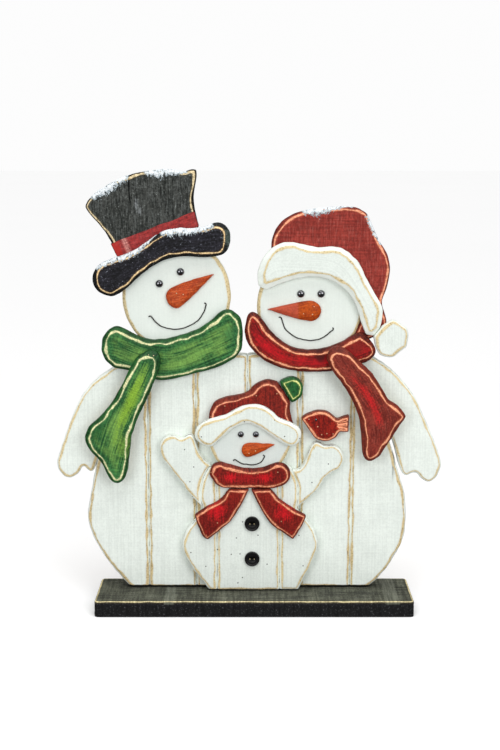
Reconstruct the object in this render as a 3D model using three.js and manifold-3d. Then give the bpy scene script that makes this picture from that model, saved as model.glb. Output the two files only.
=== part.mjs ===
// A standing plaque of a snowman family, sawn from boards and painted.
// Two parents and a child are cut-out layers glued face to face on a narrow base board.
// Millimetres. +Z is up, the painted side looks along -Y, and the origin is the middle of the underside.
import * as THREE from "three";
import { mergeVertices } from "three/addons/utils/BufferGeometryUtils.js";
import Module from "manifold-3d";

const wasm = await Module();
wasm.setup();

// Driving dimensions.
const GAP = 0.3; // left between pieces that touch
const BASE = { width: 381, depth: 89, height: 19, corner: 5, edge: 1 };
const BOARD_FACE = 7.5; // Y of the face of the planks, heads and hat crowns
const BOARD_THICKNESS = 16;
const OVERLAY_THICKNESS = 12; // scarves, brims, bird and the child
const TRIM_THICKNESS = 7; // the child's own brim and scarf
const NOSE_THICKNESS = 6;
const CHAMFER = 2.5; // on the front edge of every sawn piece
const SMALL_CHAMFER = 1.2; // on the smallest ones
const V_JOINT = 3; // half the width of the groove between two planks
const PLANK_JOINTS = [-128, -70, -8, 55, 117];
const CHILD_JOINTS = [-45, 31];
const MIDDLE = { plaque: -8, child: -2.5 }; // X of the plaque's middle joint and of the child's button row
const BEYOND = 300; // farther than any board reaches from the middle
const PLANK_NAMES = ["outer_left", "mid_left", "inner_left", "inner_right", "mid_right", "outer_right"];
const HEAD = { left: [-92, 378, 64, 67.5], right: [66, 366, 62.5, 62.5], child: [-5, 211, 49, 50] };
const BATTEN = { half: 150, height: 38, thickness: 9, levels: [72, 222] };
const BEAD_RADIUS = { parent: 4.5, child: 3.7 };
const BEAD_DOME = [[0, 0], [1, 0], [0.92, 0.35], [0.6, 0.66], [0, 0.78]]; // radius and height, in bead radii
const WIRE_RADIUS = 0.8;
const BUTTON = { radius: 9, thickness: 3.5, rim: 1.8, dish: 0.8, ease: 0.8, wall: 1, levels: [104, 60] };
const RIBBON_THICKNESS = 0.9;

// A layer is the span in Y that its pieces fill. Each is glued to the face of the one behind.
const layer = (back, thickness) => ({ front: back - thickness, back });
const BOARDS = layer(BOARD_FACE + BOARD_THICKNESS, BOARD_THICKNESS);
const OVERLAY = layer(BOARDS.front - GAP, OVERLAY_THICKNESS);
const TOP = layer(OVERLAY.front - GAP, OVERLAY_THICKNESS);
const CHILD_TRIM = layer(OVERLAY.front - GAP, TRIM_THICKNESS);
const BACK = layer(BOARDS.back + GAP + BATTEN.thickness, BATTEN.thickness);
const FLOOR_LINE = BASE.height + GAP;

const family = new THREE.Group();

const paint = (color, roughness) => ({ color, roughness, metalness: 0 });
const WHITE = paint(0xe6ece5, 0.7);
const BLACK = paint(0x26262a, 0.6);
const CHARCOAL = paint(0x3c403e, 0.75);
const RED = paint(0x8e2a24, 0.55);
const GREEN = paint(0x4f8a45, 0.55);
const ORANGE = paint(0xc04a0c, 0.5);
const GLOSS_BLACK = paint(0x0c0c0d, 0.15);
const RIBBON_RED = paint(0x9c2a2e, 0.5);
const BARE_WOOD = paint(0xd8bf92, 0.8);

// An outline in X and Z. The first run starts it, and is straight if it has only two points.
// A later run goes on from there: to a single point it is straight, through several it is a smooth curve.
function outline(...runs) {
  const shape = new THREE.Shape();
  shape.moveTo(...runs[0][0]);
  for (const [index, run] of runs.entries()) {
    const next = index === 0 ? run.slice(1) : run;
    if (next.length === 1) shape.lineTo(...next[0]);
    else shape.splineThru(next.map(([x, z]) => new THREE.Vector2(x, z)));
  }
  return shape;
}

function disc([x, z, radiusX, radiusZ]) {
  const shape = new THREE.Shape();
  shape.absellipse(x, z, radiusX, radiusZ, 0, 2 * Math.PI, false, 0);
  return shape;
}

function solid(geometry) {
  geometry.deleteAttribute("normal");
  geometry.deleteAttribute("uv");
  const merged = mergeVertices(geometry, 1e-4);
  const vertProperties = merged.getAttribute("position").array;
  const triVerts = new Uint32Array(merged.index.array);
  return new wasm.Manifold(new wasm.Mesh({ numProp: 3, vertProperties, triVerts }));
}

// Turns a shape drawn in X and Y so that it stands in X and Z, with its far cap at Y = front.
function stand(geometry, front, length) {
  geometry.rotateX(Math.PI / 2);
  geometry.translate(0, front + length, 0);
  return geometry;
}

// A sawn board: the outline through one layer, with its front edge chamfered.
function sawn(shape, { front, back }, { chamfer = CHAMFER, detail = 2 } = {}) {
  const spare = 1; // sawn off again, with the chamfer that the extrusion also puts on the back
  const depth = back - front - chamfer + spare;
  const geometry = new THREE.ExtrudeGeometry(shape, {
    depth,
    curveSegments: detail,
    bevelSegments: 1,
    bevelThickness: chamfer,
    bevelSize: chamfer,
    bevelOffset: -chamfer,
  });
  const board = solid(stand(geometry, front, depth + chamfer));
  return board.trimByPlane([0, -1, 0], -back);
}

// The room a board needs: its outline grown by the gap, a little longer than its layer.
function room(shape, { front, back }, { by = GAP, detail = 2 } = {}) {
  const depth = back - front;
  const geometry = new THREE.ExtrudeGeometry(shape, {
    depth,
    curveSegments: detail,
    bevelSegments: 1,
    bevelThickness: by,
    bevelSize: by,
    bevelOffset: 0,
  });
  return solid(stand(geometry, front - by, depth + by));
}

function add(name, body, look) {
  const { vertProperties, triVerts } = body.getMesh();
  const geometry = new THREE.BufferGeometry();
  geometry.setAttribute("position", new THREE.BufferAttribute(vertProperties, 3));
  geometry.setIndex(new THREE.BufferAttribute(triVerts, 1));
  geometry.computeVertexNormals();
  const mesh = new THREE.Mesh(geometry, new THREE.MeshStandardMaterial(look));
  mesh.name = name;
  family.add(mesh);
}

// Base board, lying flat.
{
  const { width, depth, height, corner, edge } = BASE;
  const [x, y] = [width / 2 - corner, depth / 2 - corner];
  const shape = new THREE.Shape();
  shape.absarc(x, y, corner, 0, Math.PI / 2);
  shape.absarc(-x, y, corner, Math.PI / 2, Math.PI);
  shape.absarc(-x, -y, corner, Math.PI, 1.5 * Math.PI);
  shape.absarc(x, -y, corner, 1.5 * Math.PI, 2 * Math.PI);
  const geometry = new THREE.ExtrudeGeometry(shape, {
    depth: height - 2 * edge,
    curveSegments: 3,
    bevelSegments: 1,
    bevelThickness: edge,
    bevelSize: edge,
    bevelOffset: -edge,
  });
  geometry.translate(0, 0, edge);
  add("base_board", solid(geometry), BLACK);
}

const HEAD_DETAIL = 22;
const heads = Object.fromEntries(Object.entries(HEAD).map(([who, size]) => [who, disc(size)]));
const leftHeadRoom = room(heads.left, BOARDS, { detail: HEAD_DETAIL });
const rightHeadRoom = room(heads.right, BOARDS, { detail: HEAD_DETAIL });
const childHeadRoom = room(heads.child, OVERLAY, { detail: HEAD_DETAIL });

// The parents' shared body: one silhouette, sawn from planks set edge to edge.
const bodyOutline = outline(
  [[-149, FLOOR_LINE], [138, FLOOR_LINE]],
  [[151, 30], [168, 53], [180, 77], [184, 97], [183, 133], [176, 158], [165, 196], [151, 235], [133, 270], [115, 293]],
  [[117, 319]],
  [[-11, 308]],
  [[-139, 313]],
  [[-144, 292], [-157, 265], [-172, 232], [-189, 179], [-196, 146], [-202, 112], [-198, 90], [-185, 63], [-168, 39]],
  [[-149, FLOOR_LINE]],
);

// A plank's section, long enough to cut any of the bodies. Its front corners are chamfered for the V joint.
function plank(left, right, { front, back }) {
  const [low, high] = [left + GAP / 2, right - GAP / 2];
  const section = new THREE.Shape();
  section.moveTo(low, back + 1);
  section.lineTo(low, front + V_JOINT);
  section.lineTo(low + V_JOINT, front);
  section.lineTo(low + V_JOINT, front - 1);
  section.lineTo(high - V_JOINT, front - 1);
  section.lineTo(high - V_JOINT, front);
  section.lineTo(high, front + V_JOINT);
  section.lineTo(high, back + 1);
  return solid(new THREE.ExtrudeGeometry(section, { depth: 2 * BEYOND, bevelEnabled: false }));
}

// Cuts a board at its joints, from left to right.
function planks(board, joints, span) {
  const edges = [-BEYOND, ...joints, BEYOND];
  return edges.slice(1).map((right, index) => board.intersect(plank(edges[index], right, span)));
}

{
  const body = sawn(bodyOutline, BOARDS).subtract(leftHeadRoom).subtract(rightHeadRoom);
  planks(body, PLANK_JOINTS, BOARDS).forEach((board, index) => {
    add("plank_" + PLANK_NAMES[index], board, WHITE);
  });
}

// Battens across the back that hold the planks together.
BATTEN.levels.forEach((level, index) => {
  const { half, height, thickness } = BATTEN;
  const geometry = new THREE.BoxGeometry(2 * half, thickness, height);
  geometry.translate(MIDDLE.plaque, (BACK.front + BACK.back) / 2, level);
  add(["batten_lower", "batten_upper"][index], solid(geometry), BARE_WOOD);
});

// The parents' arms, butted against the sides of the body.
{
  const bodyRoom = room(bodyOutline, BOARDS);
  const left = outline(
    [[-140, 300], [-157, 297], [-172, 290], [-194, 273], [-209, 253], [-221, 226], [-232, 196], [-238, 178]],
    [[-236, 167], [-229, 159], [-220, 158], [-212, 164], [-207, 172], [-201, 167], [-196, 165], [-190, 176]],
    [[-172, 240], [-140, 290]],
    [[-140, 300]],
  );
  const right = outline(
    [[128, 312], [146, 302], [163, 290], [179, 274], [193, 255], [204, 232], [215, 207], [223, 186], [226, 173]],
    [[221, 159], [211, 152], [202, 157], [197, 163], [190, 163], [184, 160], [177, 168], [168, 200]],
    [[130, 280], [122, 300]],
    [[128, 312]],
  );
  const others = bodyRoom.add(leftHeadRoom).add(rightHeadRoom);
  add("arm_left", sawn(left, BOARDS).subtract(others), WHITE);
  add("arm_right", sawn(right, BOARDS).subtract(others), WHITE);
}

add("head_left", sawn(heads.left, BOARDS, { detail: HEAD_DETAIL }), WHITE);
add("head_right", sawn(heads.right, BOARDS, { detail: HEAD_DETAIL }), WHITE);

// The left parent's top hat: a dented crown with a ribbon round it, and a turned-up brim over both.
{
  const crownOutline = outline(
    [[-198, 483], [-194, 491], [-181, 502], [-166, 511], [-151, 518], [-138, 522], [-118, 525], [-98, 526], [-82, 523]],
    [[-75, 526]],
    [[-68, 526]],
    [[-68, 516], [-71, 499], [-71, 487], [-68, 470], [-63, 444]],
    [[-80, 400]],
    [[-140, 397]],
    [[-161, 425]],
    [[-168, 441], [-176, 455], [-186, 467], [-193, 475], [-198, 483]],
  );
  const brimOutline = outline(
    [[-183, 384], [-188, 391], [-190, 400], [-187, 410], [-178, 418], [-164, 424], [-150, 428], [-136, 435]],
    [[-123, 444], [-108, 454], [-91, 458], [-75, 458], [-59, 460], [-45, 465], [-36, 463], [-29, 455], [-28, 443]],
    [[-33, 431], [-45, 426], [-63, 425], [-82, 426], [-101, 423], [-118, 415], [-133, 404], [-147, 391]],
    [[-159, 382], [-170, 379], [-183, 384]],
  );
  const bandOutline = outline([[-180, 437], [-59, 482]], [[-54, 465]], [[-172, 421]], [[-180, 437]]);
  const crown = sawn(crownOutline, BOARDS).subtract(leftHeadRoom);
  add("top_hat_crown", crown, CHARCOAL);
  // The ribbon lies on the crown's face and turns back round both of its sides.
  const reach = 2; // how much deeper than the crown the strip is cut, on both sides
  const wrapped = { front: BOARDS.front - GAP, back: BOARDS.back };
  const outside = room(crownOutline, wrapped, { by: GAP + RIBBON_THICKNESS });
  const strip = room(bandOutline, layer(BOARDS.back + reach, BOARD_THICKNESS + 2 * reach));
  const ribbon = outside.intersect(strip).subtract(room(crownOutline, wrapped)).subtract(leftHeadRoom);
  add("hat_ribbon", ribbon.subtract(room(brimOutline, OVERLAY)), RIBBON_RED);
  add("top_hat_brim", sawn(brimOutline, OVERLAY), BLACK);
}

// Scarves. Each wrap crosses its wearer's neck, and the tail hangs from it in front.
const greenWrap = outline(
  [[-181, 315], [-179, 330], [-172, 339], [-162, 343], [-150, 338], [-136, 331], [-121, 327], [-104, 328]],
  [[-85, 333], [-66, 340], [-51, 350], [-40, 360], [-31, 363], [-21, 358], [-15, 349], [-13.5, 332], [-15, 316]],
  [[-24, 305], [-45, 294], [-71, 287], [-98, 280], [-114, 279], [-131, 284], [-147, 290], [-166, 294]],
  [[-176, 303], [-181, 315]],
);
const greenTail = outline(
  [[-127, 315], [-118, 316], [-112, 311], [-111, 298], [-118, 279], [-128, 256], [-139, 233], [-146, 212]],
  [[-149, 188], [-153, 165], [-163, 156], [-173, 162], [-181, 180], [-195, 196], [-201, 211], [-196, 225]],
  [[-180, 240], [-168, 255], [-156, 276], [-145, 298], [-137, 309], [-127, 315]],
);
const redWrap = outline(
  [[-11.5, 338], [-8, 355], [-1, 360], [8, 353], [19, 338], [33, 325], [49, 317], [68, 315], [87, 318], [105, 325]],
  [[118, 333], [127, 335], [138, 326], [144, 314], [137, 303], [121, 297], [99, 291], [78, 289], [57, 289]],
  [[35, 293], [15, 301], [0, 313], [-9, 326], [-11.5, 338]],
);
const redTail = outline(
  [[85, 306], [89, 317], [98, 321], [110, 316], [124, 303], [139, 289], [150, 272], [159, 257]],
  [[171, 249], [180, 238]],
  [[172, 225], [161, 208], [149, 189]],
  [[138, 183], [130, 189], [128, 206], [125, 232], [117, 254], [105, 275], [92, 292], [85, 306]],
);
add("scarf_green_wrap", sawn(greenWrap, OVERLAY), GREEN);
add("scarf_green_tail", sawn(greenTail, TOP), GREEN);
add("scarf_red_wrap", sawn(redWrap, OVERLAY), RED);
add("scarf_red_tail", sawn(redTail, TOP), RED);

// The right parent's stocking cap: a drooping crown, its white trim, and a faceted pompom at its tip.
{
  const crown = outline(
    [[30, 400], [21, 428], [21, 443], [26, 457], [37, 469], [54, 477], [75, 481], [102, 483], [119, 482], [131, 476]],
    [[138, 462], [146, 444], [156, 429], [160, 411], [157, 389], [151, 371], [155, 357], [157, 345], [151, 334]],
    [[128, 323]],
    [[90, 349]],
    [[30, 400]],
  );
  const trim = outline(
    [[5, 391], [4, 405], [10, 423], [22, 436], [37, 442], [56, 440], [74, 436], [93, 437], [108, 432], [123, 418]],
    [[132, 399], [143, 380], [151, 364], [149, 344], [141, 332]],
    [[132, 334]],
    [[126, 349], [120, 368], [109, 385], [92, 397], [72, 402], [50, 400], [31, 394], [15, 387]],
    [[5, 391]],
  );
  const pompom = outline(
    [[141, 331], [151, 343]],
    [[158, 348], [165, 351], [173, 346], [180, 341]],
    [[182, 333], [180, 319]],
    [[172, 313], [164, 307], [156, 307], [148, 310]],
    [[144, 318], [141, 331]],
  );
  const wrapRoom = room(redWrap, OVERLAY);
  const trimRoom = room(trim, OVERLAY);
  add("stocking_cap_crown", sawn(crown, BOARDS).subtract(rightHeadRoom), RED);
  add("stocking_cap_trim", sawn(trim, OVERLAY).subtract(wrapRoom), WHITE);
  add("stocking_cap_pompom", sawn(pompom, OVERLAY).subtract(wrapRoom).subtract(trimRoom), WHITE);
}

// The child: body boards, raised arms and head in one layer, its hat and scarf in front of them.
const childBody = outline(
  [[-54, FLOOR_LINE], [53, FLOOR_LINE]],
  [[63, 39], [73, 61], [77, 76], [73, 93], [63, 108], [52, 121], [53, 137], [51, 156], [43, 174]],
  [[-5, 169]],
  [[-54, 174]],
  [[-62, 157], [-65, 138], [-62, 118], [-76, 102], [-85, 86], [-86, 71], [-78, 52], [-67, 36], [-54, FLOOR_LINE]],
);
const childArms = {
  left: outline(
    [[-48, 172], [-58, 180], [-67, 193], [-71, 208], [-77, 214], [-87, 208], [-95, 212], [-106, 210], [-113, 200]],
    [[-111, 187], [-102, 173], [-90, 158], [-77, 140], [-62, 124]],
    [[-50, 130]],
    [[-48, 172]],
  ),
  right: outline(
    [[38, 170], [53, 170], [61, 180], [67, 196], [74, 204], [85, 199], [94, 200], [103, 195], [107, 183], [102, 171]],
    [[86, 161], [78, 148], [67, 137], [52, 123]],
    [[40, 130]],
    [[38, 170]],
  ),
};
const childCrown = outline(
  [[-51, 215], [-54, 230], [-52, 244], [-44, 254], [-29, 259], [-10, 263], [2, 274], [15, 279], [27, 277]],
  [[35, 265], [43, 252]],
  [[43, 240], [48, 222]],
  [[46, 213]],
  [[20, 224], [2, 237], [-12, 238], [-28, 231]],
  [[-51, 215]],
);
{
  const childBrim = outline(
    [[-62, 202], [-70, 210], [-70, 219], [-64, 228], [-50, 234], [-33, 239], [-16, 248], [2, 251], [16, 246], [29, 235]],
    [[43, 229], [54, 222], [56, 212], [51, 203], [44, 201], [34, 204], [18, 215], [2, 225], [-11, 228], [-25, 222]],
    [[-41, 209], [-51, 200], [-62, 202]],
  );
  const pompom = outline(
    [[30, 277], [37, 281], [45, 283], [52, 281]],
    [[58, 272], [57, 261]],
    [[51, 255], [44, 252]],
    [[30, 277]],
  );
  const wrap = outline(
    [[-54, 166], [-50, 177], [-41, 181], [-29, 178], [-15, 174], [-1, 173], [13, 175], [26, 180], [36, 179]],
    [[43, 171], [41, 158], [29, 150.5], [11, 149], [-7, 149.5], [-27, 149.5], [-43, 152], [-54, 166]],
  );
  const tails = {
    left: outline(
      [[-30, 148], [-6, 148]],
      [[-14, 131], [-27, 110], [-41, 97], [-56, 85]],
      [[-62, 89], [-67, 101], [-72, 116]],
      [[-57, 126], [-42, 134], [-30, 148]],
    ),
    right: outline(
      [[-4, 148], [20, 148]],
      [[31, 135], [47, 124], [63, 115]],
      [[57, 101], [47, 85]],
      [[33, 95], [20, 105], [8, 123], [-4, 148]],
    ),
  };
  const childBodyRoom = room(childBody, OVERLAY);
  const crownRoom = room(childCrown, OVERLAY);
  const wrapRoom = room(wrap, CHILD_TRIM);
  const body = sawn(childBody, OVERLAY).subtract(childHeadRoom);
  planks(body, CHILD_JOINTS, OVERLAY).forEach((board, index) => {
    add("child_board_" + ["left", "middle", "right"][index], board, WHITE);
  });
  for (const [side, shape] of Object.entries(childArms)) {
    const arm = sawn(shape, OVERLAY).subtract(childBodyRoom).subtract(childHeadRoom);
    add("child_arm_" + side, arm, WHITE);
  }
  add("child_head", sawn(heads.child, OVERLAY, { detail: HEAD_DETAIL }).subtract(crownRoom), WHITE);
  add("child_cap_crown", sawn(childCrown, OVERLAY), RED);
  add("child_cap_brim", sawn(childBrim, CHILD_TRIM), WHITE);
  add("child_cap_pompom", sawn(pompom, OVERLAY, { chamfer: SMALL_CHAMFER }).subtract(crownRoom), GREEN);
  add("child_scarf_wrap", sawn(wrap, CHILD_TRIM), RED);
  for (const [side, shape] of Object.entries(tails)) {
    add("child_scarf_tail_" + side, sawn(shape, CHILD_TRIM).subtract(wrapRoom), RED);
  }
}

// Buttons on the child's front: turned discs with a raised rim.
BUTTON.levels.forEach((level, index) => {
  const { radius, thickness, rim, dish, ease, wall } = BUTTON;
  const profile = [
    [0, 0],
    [radius, 0],
    [radius, thickness - wall],
    [radius - ease, thickness],
    [radius - rim, thickness],
    [radius - rim - ease, thickness - dish],
    [0, thickness - dish],
  ];
  const geometry = new THREE.LatheGeometry(profile.map(([r, h]) => new THREE.Vector2(r, h)), 16);
  geometry.rotateX(Math.PI);
  geometry.translate(MIDDLE.child, CHILD_TRIM.back, level);
  add(["button_upper", "button_lower"][index], solid(geometry), GLOSS_BLACK);
});

// The bird beside the child's hand.
{
  const bird = outline(
    [[56, 233], [64, 238], [72, 241], [80, 242], [88, 240], [99, 231.5]],
    [[113, 237]],
    [[113, 216]],
    [[102, 217]],
    [[98, 210], [90, 206], [82, 205.5], [74, 208], [67, 217], [56, 233]],
  );
  add("bird", sawn(bird, OVERLAY).subtract(room(childArms.right, OVERLAY)), RED);
}

// Faces: a carrot nose of wood, two bead eyes and a wire smile on each head.
function face(who, front, nose, eyes, smile, bead) {
  const back = front - GAP;
  add("nose_" + who, sawn(nose, layer(back, NOSE_THICKNESS), { chamfer: SMALL_CHAMFER }), ORANGE);
  eyes.forEach(([x, z], index) => {
    const points = BEAD_DOME.map(([r, h]) => new THREE.Vector2(r * bead, h * bead));
    const geometry = new THREE.LatheGeometry(points, 12);
    geometry.rotateX(Math.PI);
    geometry.translate(x, back, z);
    add("eye_" + who + "_" + ["a", "b"][index], solid(geometry), GLOSS_BLACK);
  });
  const section = new THREE.Shape();
  section.absarc(0, 0, WIRE_RADIUS, 0, 2 * Math.PI);
  const path = new THREE.CatmullRomCurve3(smile.map(([x, z]) => new THREE.Vector3(x, back - WIRE_RADIUS, z)));
  const wire = new THREE.ExtrudeGeometry(section, { extrudePath: path, steps: 14, curveSegments: 3 });
  add("smile_" + who, solid(wire), GLOSS_BLACK);
}

face(
  "left",
  BOARDS.front,
  outline([[-47, 405], [-76, 397], [-98, 388], [-104, 380], [-101, 369], [-92, 364], [-83, 369], [-66, 385], [-47, 405]]),
  [[-112, 393], [-87, 407]],
  [[-122, 354], [-114, 345], [-103, 340], [-90, 339], [-77, 343], [-66, 350], [-60, 359], [-57, 368]],
  BEAD_RADIUS.parent,
);
face(
  "right",
  BOARDS.front,
  outline([[15, 363], [42, 369], [65, 373], [76, 369], [79, 360], [74, 351], [64, 349], [42, 354], [15, 363]]),
  [[55, 381], [79, 381]],
  [[32, 352], [36, 341], [45, 332], [56, 327], [68, 325.5], [80, 328], [93, 338]],
  BEAD_RADIUS.parent,
);
face(
  "child",
  OVERLAY.front,
  outline([[25, 202], [-1, 204], [-12, 202], [-15, 195], [-12, 188], [-5, 187], [9, 193], [25, 202]]),
  [[-16, 214], [2, 214]],
  [[-22, 183], [-15, 178.5], [-6, 177], [3, 177.5], [9, 181], [12, 186]],
  BEAD_RADIUS.child,
);

export default family;
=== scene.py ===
"""Looks for a painted wooden snowman family plaque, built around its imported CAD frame."""
import math

import bpy
import numpy as np
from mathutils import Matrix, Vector
from mathutils.geometry import delaunay_2d_cdt


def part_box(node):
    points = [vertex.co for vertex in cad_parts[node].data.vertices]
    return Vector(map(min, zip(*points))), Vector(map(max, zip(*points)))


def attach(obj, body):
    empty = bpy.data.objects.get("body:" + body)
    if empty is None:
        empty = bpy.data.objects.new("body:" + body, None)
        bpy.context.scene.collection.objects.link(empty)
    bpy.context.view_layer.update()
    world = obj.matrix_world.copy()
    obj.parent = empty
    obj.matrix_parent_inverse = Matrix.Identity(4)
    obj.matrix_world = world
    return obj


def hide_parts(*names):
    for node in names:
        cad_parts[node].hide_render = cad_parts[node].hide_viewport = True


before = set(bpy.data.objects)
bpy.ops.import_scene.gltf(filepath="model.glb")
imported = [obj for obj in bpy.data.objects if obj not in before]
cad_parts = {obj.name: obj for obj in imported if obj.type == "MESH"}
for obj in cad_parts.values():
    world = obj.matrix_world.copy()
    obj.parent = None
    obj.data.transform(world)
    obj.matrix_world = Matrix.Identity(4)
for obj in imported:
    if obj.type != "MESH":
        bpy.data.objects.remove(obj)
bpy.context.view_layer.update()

# ---------------------------------------------------------------------------------------------------
# Base board. A planed softwood board lying flat, brushed near-black. Its long edges are sanded back
# to a thin pale line, and old saw strokes cross its top. The planks stand glued on it.
# ---------------------------------------------------------------------------------------------------
MM = 0.001


def linear(code):
    """An sRGB hex colour as linear RGBA."""
    parts = [int(code[i:i + 2], 16) / 255 for i in (1, 3, 5)]
    return tuple(c / 12.92 if c <= 0.04045 else ((c + 0.055) / 1.055) ** 2.4 for c in parts) + (1.0,)


def put(tree, kind, settings=None, inputs=None):
    """Adds a node with its settings, and fills or links its sockets, named or in their order.

    A node given as a value is linked from its first output.
    """
    made = tree.nodes.new(kind)
    for key, value in (settings or {}).items():
        setattr(made, key, value)
    for key, value in (enumerate(inputs) if isinstance(inputs, list) else (inputs or {}).items()):
        socket = made.inputs[key] if isinstance(key, int) else next(
            s for s in made.inputs if s.enabled and s.name == key)
        if isinstance(value, bpy.types.Node):
            value = next(s for s in value.outputs if s.enabled)
        if isinstance(value, bpy.types.NodeSocket):
            tree.links.new(value, socket)
        else:
            socket.default_value = value
    return made


def waver(u, v, size, seed):
    """Smooth random waves over a surface, mostly from -1 to 1. u, v and the wavelength are in mm."""
    draw = np.random.default_rng(seed)
    total = 0
    for _ in range(7):
        heading, phase = draw.uniform(0, 2 * math.pi, 2)
        pace = 2 * math.pi / size * draw.uniform(0.6, 1.6)
        total = total + np.sin(pace * (u * math.cos(heading) + v * math.sin(heading)) + phase)
    return total / 2.6


def from_segments(points, line):
    """Each point's distance to a closed line, in mm."""
    start = line
    run = np.roll(line, -1, 0) - line
    length2 = np.maximum((run ** 2).sum(1), 1e-9)
    best = np.full(len(points), np.inf)
    for low in range(0, len(points), 2000):
        part = points[low:low + 2000]
        to = part[:, None, :] - start[None]
        share = np.clip((to * run[None]).sum(2) / length2, 0, 1)
        best[low:low + 2000] = np.sqrt(((to - share[..., None] * run[None]) ** 2).sum(2).min(1))
    return best


def inside(points, line):
    """Which points lie inside a closed line."""
    odd = np.zeros(len(points), bool)
    for (u1, v1), (u2, v2) in zip(line, np.roll(line, -1, 0)):
        if v1 != v2:
            crosses = (points[:, 1] >= min(v1, v2)) & (points[:, 1] < max(v1, v2))
            at = u1 + (points[:, 1] - v1) * (u2 - u1) / (v2 - v1)
            odd ^= crosses & (points[:, 0] < at)
    return odd


def evenly(line, step):
    """A run of points respaced to one each step, keeping both ends."""
    lengths = np.r_[0, np.cumsum(np.hypot(*np.diff(line, axis=0).T))]
    at = np.linspace(0, lengths[-1], max(2, round(lengths[-1] / step) + 1))
    return np.c_[np.interp(at, lengths, line[:, 0]), np.interp(at, lengths, line[:, 1])]


def curve_through(points):
    """A smooth curve through an open run of points (centripetal Catmull-Rom), 8 points to a span."""
    ends = np.vstack([2 * points[0] - points[1], points, 2 * points[-1] - points[-2]])
    out = []
    for p0, p1, p2, p3 in zip(ends, ends[1:], ends[2:], ends[3:]):
        t1 = math.dist(p0, p1) ** 0.5
        t2 = t1 + math.dist(p1, p2) ** 0.5
        t3 = t2 + math.dist(p2, p3) ** 0.5
        for t in np.linspace(t1, t2, 8, endpoint=False):
            a1 = (t1 - t) / t1 * p0 + t / t1 * p1
            a2 = (t2 - t) / (t2 - t1) * p1 + (t - t1) / (t2 - t1) * p2
            a3 = (t3 - t) / (t3 - t2) * p2 + (t - t2) / (t3 - t2) * p3
            b1 = (t2 - t) / t2 * a1 + t / t2 * a2
            b2 = (t3 - t) / (t3 - t1) * a2 + (t - t1) / (t3 - t1) * a3
            out.append((t2 - t) / (t2 - t1) * b1 + (t - t1) / (t2 - t1) * b2)
    return np.array(out + [points[-1]])


def rounded_outline(points, step, corner, soften=3):
    """A faceted outline as a hand-sawn one: curved between its corners, and each corner a little sanded."""
    ahead = np.roll(points, -1, 0) - points
    behind = points - np.roll(points, 1, 0)
    turn = np.degrees(np.abs(np.arctan2(ahead[:, 1] * behind[:, 0] - ahead[:, 0] * behind[:, 1],
                                        (ahead * behind).sum(1))))
    corners = list(np.flatnonzero(turn > corner)) or [0]
    runs = []
    for first, last in zip(corners, corners[1:] + [corners[0] + len(points)]):
        run = points[np.arange(first, last + 1) % len(points)]
        if len(corners) == 1 and turn[first] <= corner:
            run = np.vstack([run, run[1:3]])
            curve = curve_through(np.vstack([points[first - 2], points[first - 1], run]))
            begin = 16
            curve = curve[begin:begin + 8 * len(points) + 1]
        else:
            curve = curve_through(run)
        runs.append(evenly(curve, step)[:-1])
    line = np.vstack(runs)
    for _ in range(soften):
        line = 0.5 * line + 0.25 * (np.roll(line, 1, 0) + np.roll(line, -1, 0))
    sway = 0.16
    return line + sway * np.c_[waver(*line.T, 14, 3), waver(*line.T, 17, 4)]


def triangles(points, count):
    """Delaunay triangles of points whose first count are the closed outline."""
    fence = [(i, (i + 1) % count) for i in range(count)]
    found = delaunay_2d_cdt([Vector(p) for p in points], fence, [], 1, 1e-4)
    at = np.array([tuple(p) for p in found[0]])
    rim = {source: i for i, sources in enumerate(found[3]) for source in sources if source < count}
    return at, [tuple(face) for face in found[2]], [rim[i] for i in range(count)]


def grid_inside(line, pitch, clear):
    """Staggered points inside a closed line, at least clear from it."""
    low, high = line.min(0), line.max(0)
    rows = []
    for k, v in enumerate(np.arange(low[1], high[1], pitch * 0.87)):
        u = np.arange(low[0] + (k % 2) * pitch / 2, high[0], pitch)
        rows.append(np.c_[u, np.full(len(u), v)])
    points = np.vstack(rows)
    points = points + 0.22 * pitch * np.c_[waver(*points.T, 3.1 * pitch, 5), waver(*points.T, 2.7 * pitch, 6)]
    points = points[inside(points, line)]
    return points[from_segments(points, line) > clear] if len(points) else points


def along(line, points):
    """Distance along an open line to where each point is nearest it, and the signed distance off it."""
    run = np.diff(line, axis=0)
    length = np.hypot(*run.T)
    before = np.r_[0, np.cumsum(length)[:-1]]
    to = points[:, None, :] - line[None, :-1]
    share = np.clip((to * run[None]).sum(2) / (length ** 2)[None], 0, 1)
    gap = to - share[..., None] * run[None]
    pick = (gap ** 2).sum(2).argmin(1)
    row = np.arange(len(points))
    side = run[pick, 0] * gap[row, pick, 1] - run[pick, 1] * gap[row, pick, 0]
    return (before + share * length[None])[row, pick], np.where(side < 0, -1, 1) * np.hypot(*gap[row, pick].T)


STANDING = np.array([[1, 0, 0], [0, 0, 1], [0, -1, 0]])  # across, up and outwards become X, Z and -Y
LYING = np.eye(3)  # across, deep and upwards are X, Y and Z


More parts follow.
